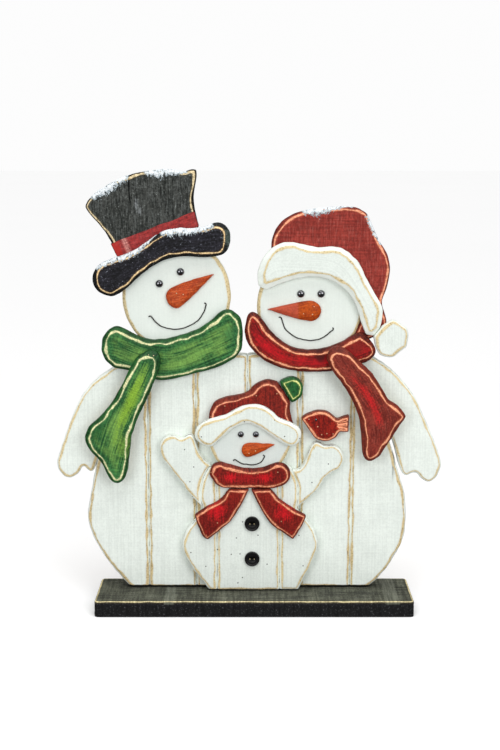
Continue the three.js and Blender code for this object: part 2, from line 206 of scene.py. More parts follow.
class Board:
    """One sawn and sanded board: a closed mesh from its outline, with an eased edge round its face.

    face and back are its two levels outwards, in mm. ease is the width of the worn edge and drop its depth.
    wide lists places (across, up, reach, extra) where the hand sanding went further in, and swell is how far
    the wood has swollen into its neighbours. grooves lists (points, width, depth, worn) of cracks and cuts in
    the face, and whether their edges are worn. dome rounds the whole face over that width, as on a nose.
    The mesh carries "rim", the distance in mm in from the line where face and worn edge meet, "edge", the
    distance in from the outline, and a UV map in metres along the grain, or along the spine of a bent piece.
    """

    def __init__(self, name, line, face, back, ease=3.6, drop=2.6, plane=STANDING, wide=(), grooves=(),
                 spine=None, grain=90, dome=None, pitch=3.2, step=1.2, hollow=0.12, swell=0.0):
        ahead = np.roll(line, -1, 0) - np.roll(line, 1, 0)
        line = line - swell * np.c_[-ahead[:, 1], ahead[:, 0]] / np.hypot(*ahead.T)[:, None]
        self.line, self.face, self.back, self.plane = line, face, back, plane
        self.ease, self.drop, self.wide, self.dome = ease, drop, wide, dome
        self.hollow, self.grooves = hollow, [(curve_through(np.array(g[0], float)), *g[1:]) for g in grooves]
        ahead = np.roll(line, -1, 0) - np.roll(line, 1, 0)
        self.inward = np.c_[-ahead[:, 1], ahead[:, 0]] / np.hypot(*ahead.T)[:, None]
        rings = [0.35, 0.8, 1.3, 1.9, 2.5, 3.1, 3.7, 4.3, 5.0, 5.8, 6.8, 8.0]
        if dome:
            rings = list(np.linspace(0.3, dome * 1.05, 12))
        held = [line]
        for depth in rings:
            ring = line + self.inward * depth
            ring = ring[from_segments(ring, line) > 0.94 * depth]
            if len(ring):
                held.append(ring)
        inner = grid_inside(line, pitch, rings[-1] + 0.5 * pitch)
        if len(inner):
            held.append(inner)
        for points, width, _, _ in self.grooves:
            rows = evenly(points, 0.8)
            lean = np.gradient(rows, axis=0)
            lean = np.c_[-lean[:, 1], lean[:, 0]] / np.hypot(*lean.T)[:, None]
            for off in (-1.6, -0.9, -0.4, 0, 0.4, 0.9, 1.6):
                row = rows + lean * off * width
                row = row[inside(row, line)]
                if len(row):
                    held.append(row[from_segments(row, line) > 0.4])
        points = np.vstack(held)
        cell = np.round(points / (0.42 * step)).astype(int)
        cell[:len(line)] = np.c_[np.arange(len(line)), np.full(len(line), 10 ** 6)]
        keep = np.sort(np.unique(cell, axis=0, return_index=True)[1])
        at, faces, rim = triangles(points[keep], len(line))
        depth = from_segments(at, line)
        depth[rim] = 0
        height = self.level(at, depth)
        corners = [np.c_[at, height]]
        inner_edge = depth - self.width(at)
        for points, width, _, worn in self.grooves:
            if worn:
                inner_edge = np.minimum(inner_edge, np.abs(along(points, at)[1]) - width)
        shade, edges = [inner_edge], [depth]
        count = len(at)
        row, top, wall = rim, height[rim], max(1, round((face - back) / 4))
        edge = at[rim]
        for k in range(1, wall + 1):
            share = k / wall
            rough = 0.12 * waver(np.arange(len(edge)) * step, share * 20, 6, 8) * (k < wall)
            corners.append(np.c_[edge - self.inward * rough[:, None], top + (back - top) * share])
            shade.append(-self.width(edge) - (top - back) * share)
            edges.append(-(top - back) * share)
            new = list(range(count, count + len(edge)))
            faces += zip(row, new, new[1:] + new[:1], row[1:] + row[:1])
            row, count = new, count + len(edge)
        fronts = len(faces)
        rear = grid_inside(line, 9, 4)
        at_back, faces_back, rim_back = triangles(np.vstack([edge, rear]) if len(rear) else edge, len(edge))
        place = {i: row[k] for k, i in enumerate(rim_back)}
        extra = [i for i in range(len(at_back)) if i not in place]
        for k, i in enumerate(extra):
            place[i] = count + k
        if extra:
            corners.append(np.c_[at_back[extra], np.full(len(extra), back)])
            shade.append(np.full(len(extra), -60.0))
            edges.append(np.full(len(extra), -60.0))
        faces += [tuple(place[i] for i in reversed(f)) for f in faces_back]
        corners, shade, edges = np.vstack(corners), np.concatenate(shade), np.concatenate(edges)
        mesh = bpy.data.meshes.new(name)
        mesh.from_pydata((corners @ plane * MM).tolist(), [], faces)
        mesh.update()
        if spine is not None:
            off = along(evenly(curve_through(np.array(spine, float)), 2), corners[:, :2])
        else:
            turn = math.radians(grain)
            off = (corners[:, 0] * math.cos(turn) + corners[:, 1] * math.sin(turn),
                   corners[:, 1] * math.cos(turn) - corners[:, 0] * math.sin(turn))
        grain_map = np.c_[off[0], off[1] + np.minimum(0, corners[:, 2] - face + drop)] * MM
        loops = np.zeros(len(mesh.loops), int)
        mesh.loops.foreach_get("vertex_index", loops)
        mesh.uv_layers.new(name="grain").data.foreach_set("uv", grain_map[loops].ravel())
        for key, values in (("rim", shade), ("edge", edges)):
            mesh.attributes.new(key, "FLOAT", "POINT").data.foreach_set("value", values.astype(np.float32))
        mesh.polygons.foreach_set("use_smooth", np.ones(len(mesh.polygons), bool))
        unpainted = np.arange(len(mesh.polygons)) >= fronts
        mesh.polygons.foreach_set("material_index", unpainted.astype(np.int32))
        mesh.set_sharp_from_angle(angle=math.radians(50))
        self.piece = bpy.data.objects.new(name, mesh)
        bpy.context.scene.collection.objects.link(self.piece)

    def width(self, at):
        """How far in the edge is worn at each place."""
        width = self.ease * (1 + 0.13 * waver(*at.T, 34, 11) + 0.04 * waver(*at.T, 13, 12))
        for u, v, reach, extra in self.wide:
            width = width + extra * np.exp(-(((at - (u, v)) / reach) ** 2).sum(1))
        return np.maximum(width, 0.4 * self.ease)

    def level(self, at, depth):
        """The face's level at each place, outwards."""
        if self.dome:
            share = np.clip(1 - depth / self.dome, 0, 1)
            return self.face - self.drop * (1 - np.sqrt(np.clip(1 - share ** 2.1, 0, 1)))
        width = self.width(at)
        crease = 0.4
        worn = self.drop / self.ease * crease * np.logaddexp(0, (width - depth) / crease)
        nose = 1.2
        curl = np.clip(nose - depth, 0, nose)
        rounded = 0.7 * (nose - np.sqrt(nose ** 2 - curl ** 2))
        planed = self.hollow * waver(at[:, 0], at[:, 1], 40, 13)
        level = self.face - worn - rounded + planed * np.clip(depth / 6, 0, 1)
        for points, width, cut, _ in self.grooves:
            level = level - cut * np.exp(-(along(points, at)[1] / (0.8 * width)) ** 2)
        return level


SMOOTH = {"interpolation_type": "SMOOTHSTEP"}
COLOURS = {"data_type": "RGBA"}
DARKENED = {"data_type": "RGBA", "blend_type": "MULTIPLY"}
PLUS, LESS, TIMES, TIMES_PLUS, WITHOUT_SIGN, LARGER = ({"operation": how} for how in (
    "ADD", "SUBTRACT", "MULTIPLY", "MULTIPLY_ADD", "ABSOLUTE", "MAXIMUM"))


def every(size):
    """How many times a metre holds a pattern of this size in mm."""
    return 1 / (size * MM)


def painted(name, face, deep, band, bare, glow=None, glow_from=(3, 11), patches=(), line=1.2, line_at=0.2,
            worn=0.6, stray=1.0, halo=0.12, bare_edge=False, streaks=(0.8, 30), contrast=0.5, fleck=0.12,
            wash=None, crumbs=None, specks=0, speck_colour="#1d1915", dirt_and_gap_shade=0, rough=0.5, relief=0.18,
            sawn=None, walls=None, gloss=0.5, contact_shadow_height=0):
    """Brushed acrylic paint on wood, rubbed through to the wood along the worn edge. Lengths are in mm.

    face and deep are the light and dark of the brush strokes, and band the two tones on the worn edge, which on
    the whites are a little lighter than the face, as painted light. glow is a lighter glaze brushed along the
    middle. bare is the light and dark of the wood in the rubbed line, which is line wide each way, strays by
    about stray and has a halo of thinned paint. patches lists (across, up, half width, half height, soft,
    colour, strength) where the finish differs or where shade, shadow or a sheen is painted in, and True after
    them measures the place along and off the grain instead. streaks is a brush stroke's (width, length). sawn is
    the spacing of the saw marks across the grain, and how deep their tone is. fleck is how uneven the film is,
    specks the spacing of stray specks, crumbs (colour, from) the dry flecks on the high spots, and
    dirt_and_gap_shade how much dark sits along the outline: some dirt, and painted shade in the gaps where
    boards meet. walls is (colour, rim) of the sides' paint, and contact_shadow_height the top of a painted
    contact shadow along the foot of a board that stands on the base.
    """
    material = bpy.data.materials.new(name)
    material.use_nodes = True
    tree = material.node_tree
    tree.nodes.clear()
    grain = put(tree, "ShaderNodeUVMap", {"uv_map": "grain"})
    place = put(tree, "ShaderNodeTexCoord").outputs["Object"]
    rim = put(tree, "ShaderNodeAttribute", {"attribute_name": "rim"}).outputs["Fac"]
    edge = put(tree, "ShaderNodeAttribute", {"attribute_name": "edge"}).outputs["Fac"]
    # Grit in the paint is finer than 1 mm, so it is drawn at about 2 mm, as coarse as it needs to show.
    # Strokes and the clouds of a thinner or thicker coat keep the film from being one flat tone.
    grit = put(tree, "ShaderNodeTexNoise", None, {
        "Vector": place, "Scale": every(2.1), "Detail": 4, "Roughness": 0.75})
    strokes = put(tree, "ShaderNodeMapping", None, {
        "Vector": grain, "Scale": (every(2 * streaks[1]), every(2 * streaks[0]), 1)})
    strokes = put(tree, "ShaderNodeTexNoise", None, {
        "Vector": strokes, "Scale": 1, "Detail": 4, "Roughness": 0.62, "Distortion": 0.25})
    clouds = put(tree, "ShaderNodeTexNoise", None, {
        "Vector": place, "Scale": every(24), "Detail": 3, "Roughness": 0.55})
    blend = put(tree, "ShaderNodeMath", TIMES_PLUS, [clouds, 0.5, strokes])
    blend = put(tree, "ShaderNodeMath", TIMES_PLUS, [grit, 0.6, blend])
    average, spread = 1.05, 0.05 + 0.2 * (1 - contrast)
    blend = put(tree, "ShaderNodeMapRange", SMOOTH, [blend, average - spread, average + spread])
    paint = put(tree, "ShaderNodeMix", COLOURS, {"Factor": blend, "A": linear(deep), "B": linear(face)})
    if glow:
        patch = put(tree, "ShaderNodeMapping", None, {"Vector": grain, "Scale": (every(36), every(17), 1)})
        patch = put(tree, "ShaderNodeTexNoise", None, {
            "Vector": patch, "Scale": 1, "Detail": 3, "Roughness": 0.6, "Distortion": 0.4})
        patch = put(tree, "ShaderNodeMath", TIMES_PLUS, [strokes, 0.8, patch])
        patch = put(tree, "ShaderNodeMapRange", None, [patch, 0.74, 1.06])
        middle = put(tree, "ShaderNodeMapRange", SMOOTH, [rim, *glow_from])
        middle = put(tree, "ShaderNodeMath", TIMES, [middle, patch])
        paint = put(tree, "ShaderNodeMix", COLOURS, {"Factor": middle, "A": paint, "B": linear(glow)})
    if wash:
        thin = put(tree, "ShaderNodeMapping", None, {"Vector": grain, "Scale": (every(14), every(2), 1)})
        thin = put(tree, "ShaderNodeTexNoise", None, {
            "Vector": thin, "Scale": 1, "Detail": 5, "Roughness": 0.7})
        thin = put(tree, "ShaderNodeMapRange", None, [thin, 0.5, 0.72, 0, wash[1]])
        paint = put(tree, "ShaderNodeMix", COLOURS, {"Factor": thin, "A": paint, "B": linear(wash[0])})
    # The rubbed line wanders, frays and thins along its length, because it was sanded by hand.
    wander = put(tree, "ShaderNodeTexNoise", None, {"Vector": place, "Scale": every(26), "Detail": 1})
    frayed = put(tree, "ShaderNodeTexNoise", None, {
        "Vector": place, "Scale": every(2.6), "Detail": 3, "Roughness": 0.65})
    shifted = put(tree, "ShaderNodeMath", TIMES_PLUS, [wander, 1.3 * stray, -0.95 * stray - line_at])
    shifted = put(tree, "ShaderNodeMath", TIMES_PLUS, [frayed, 0.6 * stray, shifted])
    shifted = put(tree, "ShaderNodeMath", PLUS, [rim, shifted])
    press = put(tree, "ShaderNodeTexNoise", None, {
        "Vector": place, "Scale": every(18), "Detail": 2, "Roughness": 0.5, "Distortion": 0.5})
    reach = put(tree, "ShaderNodeMapRange", SMOOTH, [press, 0.36, 0.66, line * (0.1 + 0.85 * worn),
                                                     line * 1.35])
    within = put(tree, "ShaderNodeMath", WITHOUT_SIGN, [shifted])
    within = put(tree, "ShaderNodeMath", LESS, [reach, within])
    rubbed = put(tree, "ShaderNodeMapRange", SMOOTH, [within, -0.22, 0.26])
    if bare_edge:
        outside = put(tree, "ShaderNodeMapRange", SMOOTH, [shifted, 0.3, -0.3])
        not_wall = put(tree, "ShaderNodeMapRange", SMOOTH, [edge, -1.5, -0.5])
        outside = put(tree, "ShaderNodeMath", TIMES, [outside, not_wall])
        rubbed = put(tree, "ShaderNodeMath", LARGER, [rubbed, outside])
    # The eased edge takes the band's tones; on the whites these are a little lighter than the face, as painted
    # light.
    outer = put(tree, "ShaderNodeMapRange", SMOOTH, [shifted, 0.5, -1.2])
    eased_edge_tones = put(tree, "ShaderNodeMix", COLOURS, {
        "Factor": blend, "A": linear(band[0]), "B": linear(band[1])})
    paint = put(tree, "ShaderNodeMix", COLOURS, {"Factor": outer, "A": paint, "B": eased_edge_tones})
    for across, up, wide, tall, soft, tint, strength, *lengthways in patches:
        standing, flat = (0, 1) if lengthways else (1, 0)
        away = put(tree, "ShaderNodeMapping", None, {
            "Vector": grain if lengthways else place,
            "Location": (-across / wide, -up / tall * flat, -up / tall * standing),
            "Scale": (every(wide), flat * every(tall), standing * every(tall))})
        away = put(tree, "ShaderNodeVectorMath", {"operation": "LENGTH"}, [away]).outputs["Value"]
        away = put(tree, "ShaderNodeMath", TIMES_PLUS, [blend, -0.5 * soft, away])
        away = put(tree, "ShaderNodeMapRange", SMOOTH, [away, 1 - 0.25 * soft, 1 - 1.25 * soft, 0, strength])
        paint = put(tree, "ShaderNodeMix", COLOURS, {"Factor": away, "A": paint, "B": linear(tint)})
    if walls:
        side = put(tree, "ShaderNodeMapRange", SMOOTH, [rim, walls[1], walls[1] - 2.5])
        paint = put(tree, "ShaderNodeMix", COLOURS, {"Factor": side, "A": paint, "B": linear(walls[0])})
    if crumbs:
        dry = put(tree, "ShaderNodeMapRange", None, [grit, crumbs[1], crumbs[1] + 0.07, 0, 0.85])
        paint = put(tree, "ShaderNodeMix", COLOURS, {"Factor": dry, "A": paint, "B": linear(crumbs[0])})
    if specks:
        cells = put(tree, "ShaderNodeTexVoronoi", {"voronoi_dimensions": "2D"}, {
            "Vector": grain, "Scale": every(specks), "Randomness": 1})
        dot = put(tree, "ShaderNodeMapRange", None, [cells.outputs["Distance"], 0.9 / specks, 0.55 / specks])
        chosen = put(tree, "ShaderNodeSeparateColor", None, [cells.outputs["Color"]])
        chosen = put(tree, "ShaderNodeMath", {"operation": "GREATER_THAN"}, [chosen, 0.6])
        dot = put(tree, "ShaderNodeMath", TIMES, [dot, chosen])
        paint = put(tree, "ShaderNodeMix", COLOURS, {"Factor": dot, "A": paint, "B": linear(speck_colour)})
    thinned = put(tree, "ShaderNodeMapRange", SMOOTH, [within, -1.8, 0.1, 0, halo])
    paint = put(tree, "ShaderNodeMix", COLOURS, {"Factor": thinned, "A": paint, "B": linear(bare[1])})
    wood = put(tree, "ShaderNodeMapRange", SMOOTH, [grit, 0.3, 0.52])
    wood = put(tree, "ShaderNodeMix", COLOURS, {"Factor": wood, "A": linear(bare[1]), "B": linear(bare[0])})
    colour = put(tree, "ShaderNodeMix", COLOURS, {"Factor": rubbed, "A": paint, "B": wood})
    uneven = put(tree, "ShaderNodeMapRange", None, [grit, 0.34, 0.66, 1 - fleck, 1 + fleck])
    uneven = put(tree, "ShaderNodeCombineColor", None, [uneven, uneven, uneven])
    colour = put(tree, "ShaderNodeMix", DARKENED, {"Factor": 1.0, "A": colour, "B": uneven})
    # Relief: brush ridges and grain along the board, saw marks across it, and the edge of the paint film.
    height = put(tree, "ShaderNodeMath", TIMES, [grit, 0.45])
    height = put(tree, "ShaderNodeMath", TIMES_PLUS, [strokes, 0.7, height])
    if sawn:
        cut = put(tree, "ShaderNodeMapping", None, {"Vector": grain, "Scale": (every(sawn[0]), every(45), 1)})
        cut = put(tree, "ShaderNodeTexNoise", None, {
            "Vector": cut, "Scale": 1, "Detail": 3, "Roughness": 0.6})
        height = put(tree, "ShaderNodeMath", TIMES_PLUS, [cut, 1.1, height])
        shade = put(tree, "ShaderNodeMapRange", None, [cut, 0.38, 0.62, 1 - sawn[1], 1 + 0.8 * sawn[1]])
        shade = put(tree, "ShaderNodeCombineColor", None, [shade, shade, shade])
        colour = put(tree, "ShaderNodeMix", DARKENED, {"Factor": 1.0, "A": colour, "B": shade})
    # Dark and broken along the outline: some dirt, and painted shade in the narrow gaps where boards meet.
    if dirt_and_gap_shade:
        broken = put(tree, "ShaderNodeTexNoise", None, {
            "Vector": place, "Scale": every(10.5), "Detail": 5, "Roughness": 0.75})
        broken = put(tree, "ShaderNodeMapRange", SMOOTH, [broken, 0.63 - 0.2 * dirt_and_gap_shade, 0.7 - 0.2 * dirt_and_gap_shade, 0,
                                                          0.9])
        seam_dirt_and_shade = put(tree, "ShaderNodeMath", PLUS, [edge, 0.35])
        seam_dirt_and_shade = put(tree, "ShaderNodeMath", WITHOUT_SIGN, [seam_dirt_and_shade])
        seam_dirt_and_shade = put(tree, "ShaderNodeMapRange", SMOOTH, [seam_dirt_and_shade, 0.9, 0.3])
        seam_dirt_and_shade = put(tree, "ShaderNodeMath", TIMES, [seam_dirt_and_shade, broken])
        colour = put(tree, "ShaderNodeMix", COLOURS, {"Factor": seam_dirt_and_shade, "A": colour, "B": linear("#1f1d1a")})
    # Near-black along the bottom of a board that stands on the base: a painted contact shadow where they meet.
    if contact_shadow_height:
        up = put(tree, "ShaderNodeSeparateXYZ", None, [place]).outputs["Z"]
        painted_contact_shadow = put(tree, "ShaderNodeTexNoise", None, {"Vector": place, "Scale": every(6), "Detail": 2})
        painted_contact_shadow = put(tree, "ShaderNodeMath", TIMES_PLUS, [painted_contact_shadow, -0.0012, up])
        painted_contact_shadow = put(tree, "ShaderNodeMapRange", SMOOTH, [painted_contact_shadow, contact_shadow_height * MM, (contact_shadow_height - 0.7) * MM])
        colour = put(tree, "ShaderNodeMix", COLOURS, {"Factor": painted_contact_shadow, "A": colour, "B": linear("#191817")})
    height = put(tree, "ShaderNodeMath", TIMES_PLUS, [rubbed, -0.8, height])
    bump = put(tree, "ShaderNodeBump", None, {"Strength": 1.0, "Distance": relief * MM, "Height": height})
    dull = put(tree, "ShaderNodeMapRange", SMOOTH, [rubbed, 0, 1, rough - 0.08, 0.72])
    dull = put(tree, "ShaderNodeMath", TIMES_PLUS, [grit, 0.16, dull])
    shader = put(tree, "ShaderNodeBsdfPrincipled", None, {
        "Base Color": colour, "Roughness": dull, "IOR": 1.47, "Specular IOR Level": gloss, "Normal": bump})
    put(tree, "ShaderNodeOutputMaterial", None, {"Surface": shader})
    return material


def sawn_wood(name, light="#dcc49a", dark="#b99668", sprayed="#e4e6e0"):
    """Bare softwood: pale and dark growth lines, saw marks across, and paint that strayed round the edge."""
    material = bpy.data.materials.new(name)
    material.use_nodes = True
    tree = material.node_tree
    tree.nodes.clear()
    grain = put(tree, "ShaderNodeUVMap", {"uv_map": "grain"})
    drift = put(tree, "ShaderNodeTexNoise", None, {
        "Vector": put(tree, "ShaderNodeMapping", None, {"Vector": grain,
                                                        "Scale": (every(250), every(45), 1)}),
        "Scale": 1, "Detail": 2})
    rings = put(tree, "ShaderNodeTexNoise", None, {
        "Vector": put(tree, "ShaderNodeMapping", None, {"Vector": grain,
                                                        "Scale": (every(140), every(2.4), 1)}),
        "Scale": 1, "Detail": 4, "Roughness": 0.6, "Distortion": 0.4})
    rings = put(tree, "ShaderNodeMapRange", None, [rings, 0.3, 0.7])
    tone = put(tree, "ShaderNodeMath", TIMES_PLUS, [drift, 0.6, -0.3])
    tone = put(tree, "ShaderNodeMath", {"operation": "ADD", "use_clamp": True}, [tone, rings])
    wood = put(tree, "ShaderNodeMix", COLOURS, {"Factor": tone, "A": linear(dark), "B": linear(light)})
    saw = put(tree, "ShaderNodeTexNoise", None, {
        "Vector": put(tree, "ShaderNodeMapping", None, {"Vector": grain,
                                                        "Scale": (every(1.9), every(80), 1)}),
        "Scale": 1, "Detail": 2})
    if sprayed:
        rim = put(tree, "ShaderNodeAttribute", {"attribute_name": "rim"}).outputs["Fac"]
        stray = put(tree, "ShaderNodeMapRange", None, [rim, -34, -18])
        mist = put(tree, "ShaderNodeTexNoise", None, {
            "Vector": put(tree, "ShaderNodeTexCoord").outputs["Object"], "Scale": every(6), "Detail": 4,
            "Roughness": 0.7})
        mist = put(tree, "ShaderNodeMapRange", None, [mist, 0.4, 0.6, 0, 0.75])
        stray = put(tree, "ShaderNodeMath", TIMES, [stray, mist])
        wood = put(tree, "ShaderNodeMix", COLOURS, {"Factor": stray, "A": wood, "B": linear(sprayed)})
    height = put(tree, "ShaderNodeMath", TIMES_PLUS, [saw, 0.8, rings])
    bump = put(tree, "ShaderNodeBump", None, {"Strength": 0.8, "Distance": 0.3 * MM, "Height": height})
    shader = put(tree, "ShaderNodeBsdfPrincipled", None, {
        "Base Color": wood, "Roughness": 0.8, "IOR": 1.5, "Specular IOR Level": 0.35, "Normal": bump})
    put(tree, "ShaderNodeOutputMaterial", None, {"Surface": shader})
    return material


def dress(board, *materials):
    """Gives a board its paint, and the bare wood for its back."""
    for material in materials:
        board.piece.data.materials.append(material)
    return board.piece


base_low, base_high = (np.array(corner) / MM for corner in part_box("base_board"))
corner_radius = 5.0
quarter = np.radians(np.arange(0, 91, 15))
arcs = [np.c_[np.cos(quarter + k * math.pi / 2), np.sin(quarter + k * math.pi / 2)] for k in range(4)]
inset = [(1, 1), (-1, 1), (-1, -1), (1, -1)]
half = (base_high[:2] - base_low[:2]) / 2 - corner_radius
base_line = np.vstack([arc * corner_radius + half * side for arc, side in zip(arcs, inset)])
base_sides = zip(base_line, np.roll(base_line, -1, 0))
base_line = np.vstack([evenly(np.vstack(side), 2.0)[:-1] for side in base_sides])
base = Board("painted_base_board", base_line, base_high[2], base_low[2], ease=1.3, drop=0.9, plane=LYING,
             grain=0, pitch=5, step=2.0, hollow=0.05)
# Near-black acrylic brushed thin: a dull grey-black top with pale saw marks, and black sides.
base_paint = painted("near_black_acrylic_on_planed_pine", face="#5b5d50", deep="#373831",
                     band=("#1a1a1c", "#242427"), bare=("#dccf9f", "#a8956a"), line=0.7, line_at=0.1,
                     worn=1.0, streaks=(1.3, 40), contrast=0.6, fleck=0.3, wash=("#858878", 0.4),
                     rough=0.75, relief=0.2, walls=("#19191a", -1.6), sawn=(3.2, 0.34), gloss=0.15,
                     stray=0.4, crumbs=("#47484a", 0.58),
                     patches=[(-101, 0, 7, 900, 0.3, "#7a7d70", 0.5), (165, 0, 10, 900, 0.3, "#7a7d70", 0.4)])
# Bandsawn pine as the saw left it: warm tan growth lines, dull all over.
pine = sawn_wood("bare_bandsawn_pine")
dress(base, base_paint, sawn_wood("underside_pine", "#c9b189", "#a78a60", "#3a3a3c"))
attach(base.piece, "root")
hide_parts("base_board")

# ---------------------------------------------------------------------------------------------------
# The parents' body: six softwood planks set edge to edge, their long edges bevelled so that each joint
# is a V. White chalky acrylic over saw marks, sanded back to tan wood along every edge.
# ---------------------------------------------------------------------------------------------------
def cad_outline(node, step=1.2, corner=48, soften=3):
    """A standing board's outline, anticlockwise from the front, read from the back face of its CAD node."""
    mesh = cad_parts[node].data
    at = np.array([v.co for v in mesh.vertices]) / MM
    flush = at[:, 1] > at[:, 1].max() - 0.02
    sides = set()
    for polygon in mesh.polygons:
        if all(flush[i] for i in polygon.vertices):
            keys = [(round(at[i, 0], 2), round(at[i, 2], 2)) for i in polygon.vertices]
            for a, b in zip(keys, keys[1:] + keys[:1]):
                if (b, a) in sides:
                    sides.remove((b, a))
                else:
                    sides.add((a, b))
    follow = dict(sides)
    loop = [min(follow)]
    while follow[loop[-1]] != loop[0]:
        loop.append(follow[loop[-1]])
    return rounded_outline(np.array(loop[::-1], float), step, corner, soften)


def levels(node):
    """A standing board's face and back, in mm outwards."""
    low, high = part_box(node)
    return -low.y / MM, -high.y / MM


# Chalky white acrylic: a soft, flat, faintly green white that lets the saw marks through.
# Its band is a little lighter than the face: painted light, so the eased edges stay as bright as the face.
chalk = dict(face="#e6ede6", deep="#dce3dc", band=("#f2f8f1", "#e9f0e8"), bare=("#dfcda0", "#9f875a"),
             line=1.05, line_at=0.1, worn=0.55, streaks=(1.1, 50), contrast=0.35, wash=("#cdd5cf", 0.22),
             rough=0.7, relief=0.11, gloss=0.3, fleck=0.03)
# The dark narrow patch at the right arm is painted shade in the gap between the arm and the outer right plank.
white = painted("chalky_white_acrylic_on_sawn_pine", sawn=(2.2, 0.02), dirt_and_gap_shade=0.9, contact_shadow_height=22.3,
                patches=[(168, 180, 2.6, 36, 0.9, "#2b2620", 0.9)],
                **{**chalk, "face": "#edf4ed", "deep": "#e3eae3", "line": 1.3,
                   "bare": ("#d8c496", "#8f774e")})
planks = ["outer_left", "mid_left", "inner_left", "inner_right", "mid_right", "outer_right"]
for plank in planks:
    node = "plank_" + plank
    board = Board("painted_" + node, cad_outline(node), *levels(node), ease=2.7, drop=2.5, swell=0.2)
    dress(board, white, pine)
    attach(board.piece, "root")
    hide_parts(node)

# ---------------------------------------------------------------------------------------------------
# The parents' arms and round heads, sawn from the same stock and glued edge to edge with the planks.
# The heads are sanded smoother, and bare to the wood all round their rounded edge.
# ---------------------------------------------------------------------------------------------------
# The dark narrow patch here is painted shade in the gap between the right arm and the outer right plank.
arm_white = painted("chalky_white_acrylic_on_narrow_stock", sawn=(2.2, 0.02), dirt_and_gap_shade=0.6,
                    patches=[(168, 180, 2.6, 36, 0.9, "#2b2620", 0.9)],
                    **{**chalk, "face": "#edf4ed", "deep": "#e3eae3"})
# The same paint on sanded wood: smoother and evener, with tan wood bare all round.
sanded = {**chalk, "deep": "#e2e9e2", "wash": None, "contrast": 0.1, "relief": 0.02, "fleck": 0.015,
          "line": 0.8}
smooth_white = painted("sanded_white_acrylic_with_bare_rim", bare_edge=True, **sanded)
for node, paint, ease in (("arm_left", arm_white, 2.5), ("arm_right", arm_white, 2.3),
                          ("head_left", smooth_white, 3.0), ("head_right", smooth_white, 2.6)):
    board = Board("painted_" + node, cad_outline(node), *levels(node), ease=ease, drop=0.9 * ease, swell=0.15)
    dress(board, paint, pine)
    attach(board.piece, "root")
    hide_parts(node)

# ---------------------------------------------------------------------------------------------------
# Top hat: a flared crown, dented on top, with a turned-up brim glued across it. The crown's black has
# faded to charcoal over open grain, with a crack and two pale scuffs. The brim is blacker and less worn.
# ---------------------------------------------------------------------------------------------------
# Faded black acrylic: charcoal with pale dry grain, no gloss.
# The two narrow near-black patches follow the crack: painted shade inside it. The two pale ones are scuffs.
charcoal = painted("faded_black_acrylic_on_open_grained_pine", face="#434542", deep="#222522",
                   band=("#121213", "#1c1c1d"), bare=("#dccaa2", "#a88f64"), line=1.05, line_at=0.1,
                   worn=0.6, streaks=(1.2, 12), contrast=0.45, fleck=0.42, wash=("#868b89", 0.45),
                   crumbs=("#8d9290", 0.645), rough=0.78, relief=0.22, gloss=0.15,
                   patches=[(-138, 486, 2.4, 11, 0.95, "#9a9fa1", 0.55),
                            (-134, 478, 2.2, 8, 0.95, "#9a9fa1", 0.4),
                            (-146.2, 508, 1.0, 9, 0.4, "#0a0b0a", 0.95),
                            (-145.3, 493, 0.9, 9, 0.5, "#0a0b0a", 0.85)])
# Fresher black acrylic: a cool near-black with small pale flecks.
# The grey-green patch at the brim's right end is a painted reflection, the gloss of its worn black edge.
black = painted("black_acrylic_on_sanded_pine", face="#212027", deep="#0d0d10", band=("#0f0f11", "#1b1f1e"),
                bare=("#e6c795", "#b08a5b"), line=0.75, line_at=0.1, worn=0.5, streaks=(1.2, 8),
                contrast=0.5, fleck=0.6, wash=("#4b4b55", 0.4), crumbs=("#8f95a0", 0.64), rough=0.6,
                relief=0.2, gloss=0.2, patches=[(-26, 449, 13, 17, 0.6, "#4a5751", 0.9)])
crown = Board("painted_top_hat_crown", cad_outline("top_hat_crown"), *levels("top_hat_crown"), ease=2.3,
              drop=2.2, wide=[(-168, 438, 16, 1.6), (-70, 490, 12, 1.0), (-150, 516, 10, 1.2)],
              grooves=[([(-146.4, 515), (-146, 504), (-146.4, 496), (-145.2, 490), (-144, 483)], 0.5, 2.2,
                        False)])
dress(crown, charcoal, pine)
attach(crown.piece, "root")
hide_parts("top_hat_crown")
brim = Board("painted_top_hat_brim", cad_outline("top_hat_brim"), *levels("top_hat_brim"), ease=4.3,
             drop=3.4, spine=[(-196, 396), (-165, 402), (-130, 420), (-95, 440), (-60, 442), (-24, 446)],
             wide=[(-28, 446, 14, 2.2), (-186, 398, 10, 1.2)])
dress(brim, black, pine)
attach(brim.piece, "root")
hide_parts("top_hat_brim")

# ---------------------------------------------------------------------------------------------------
# Hat ribbon: one strip of crimson satin pulled across the crown's face, folded round both of its sides
# and tacked behind. The weave runs straight, and just past the fold on the left a pale pink sheen is painted in.
# ---------------------------------------------------------------------------------------------------
# Woven satin: a soft crimson sheen with fine threads both ways, a pale pink sheen painted in past one
# fold, and darker where doubled.
satin = bpy.data.materials.new("crimson_satin_weave")
satin.use_nodes = True
tree = satin.node_tree
tree.nodes.clear()
thread_map = put(tree, "ShaderNodeUVMap", {"uv_map": "thread"})
weft = put(tree, "ShaderNodeTexNoise", None, {
    "Vector": put(tree, "ShaderNodeMapping", None, {"Vector": thread_map,
                                                    "Scale": (every(7.7), every(1.6), 1)}),
    "Scale": 1, "Detail": 3, "Roughness": 0.65})
warp = put(tree, "ShaderNodeTexNoise", None, {
    "Vector": put(tree, "ShaderNodeMapping", None, {"Vector": thread_map,
                                                    "Scale": (every(1.6), every(6.2), 1)}),
    "Scale": 1, "Detail": 2})
weave = put(tree, "ShaderNodeMath", TIMES, [warp, 0.4])
weave = put(tree, "ShaderNodeMath", TIMES_PLUS, [weft, 0.6, weave])
tone = put(tree, "ShaderNodeMapRange", None, [weave, 0.36, 0.64])
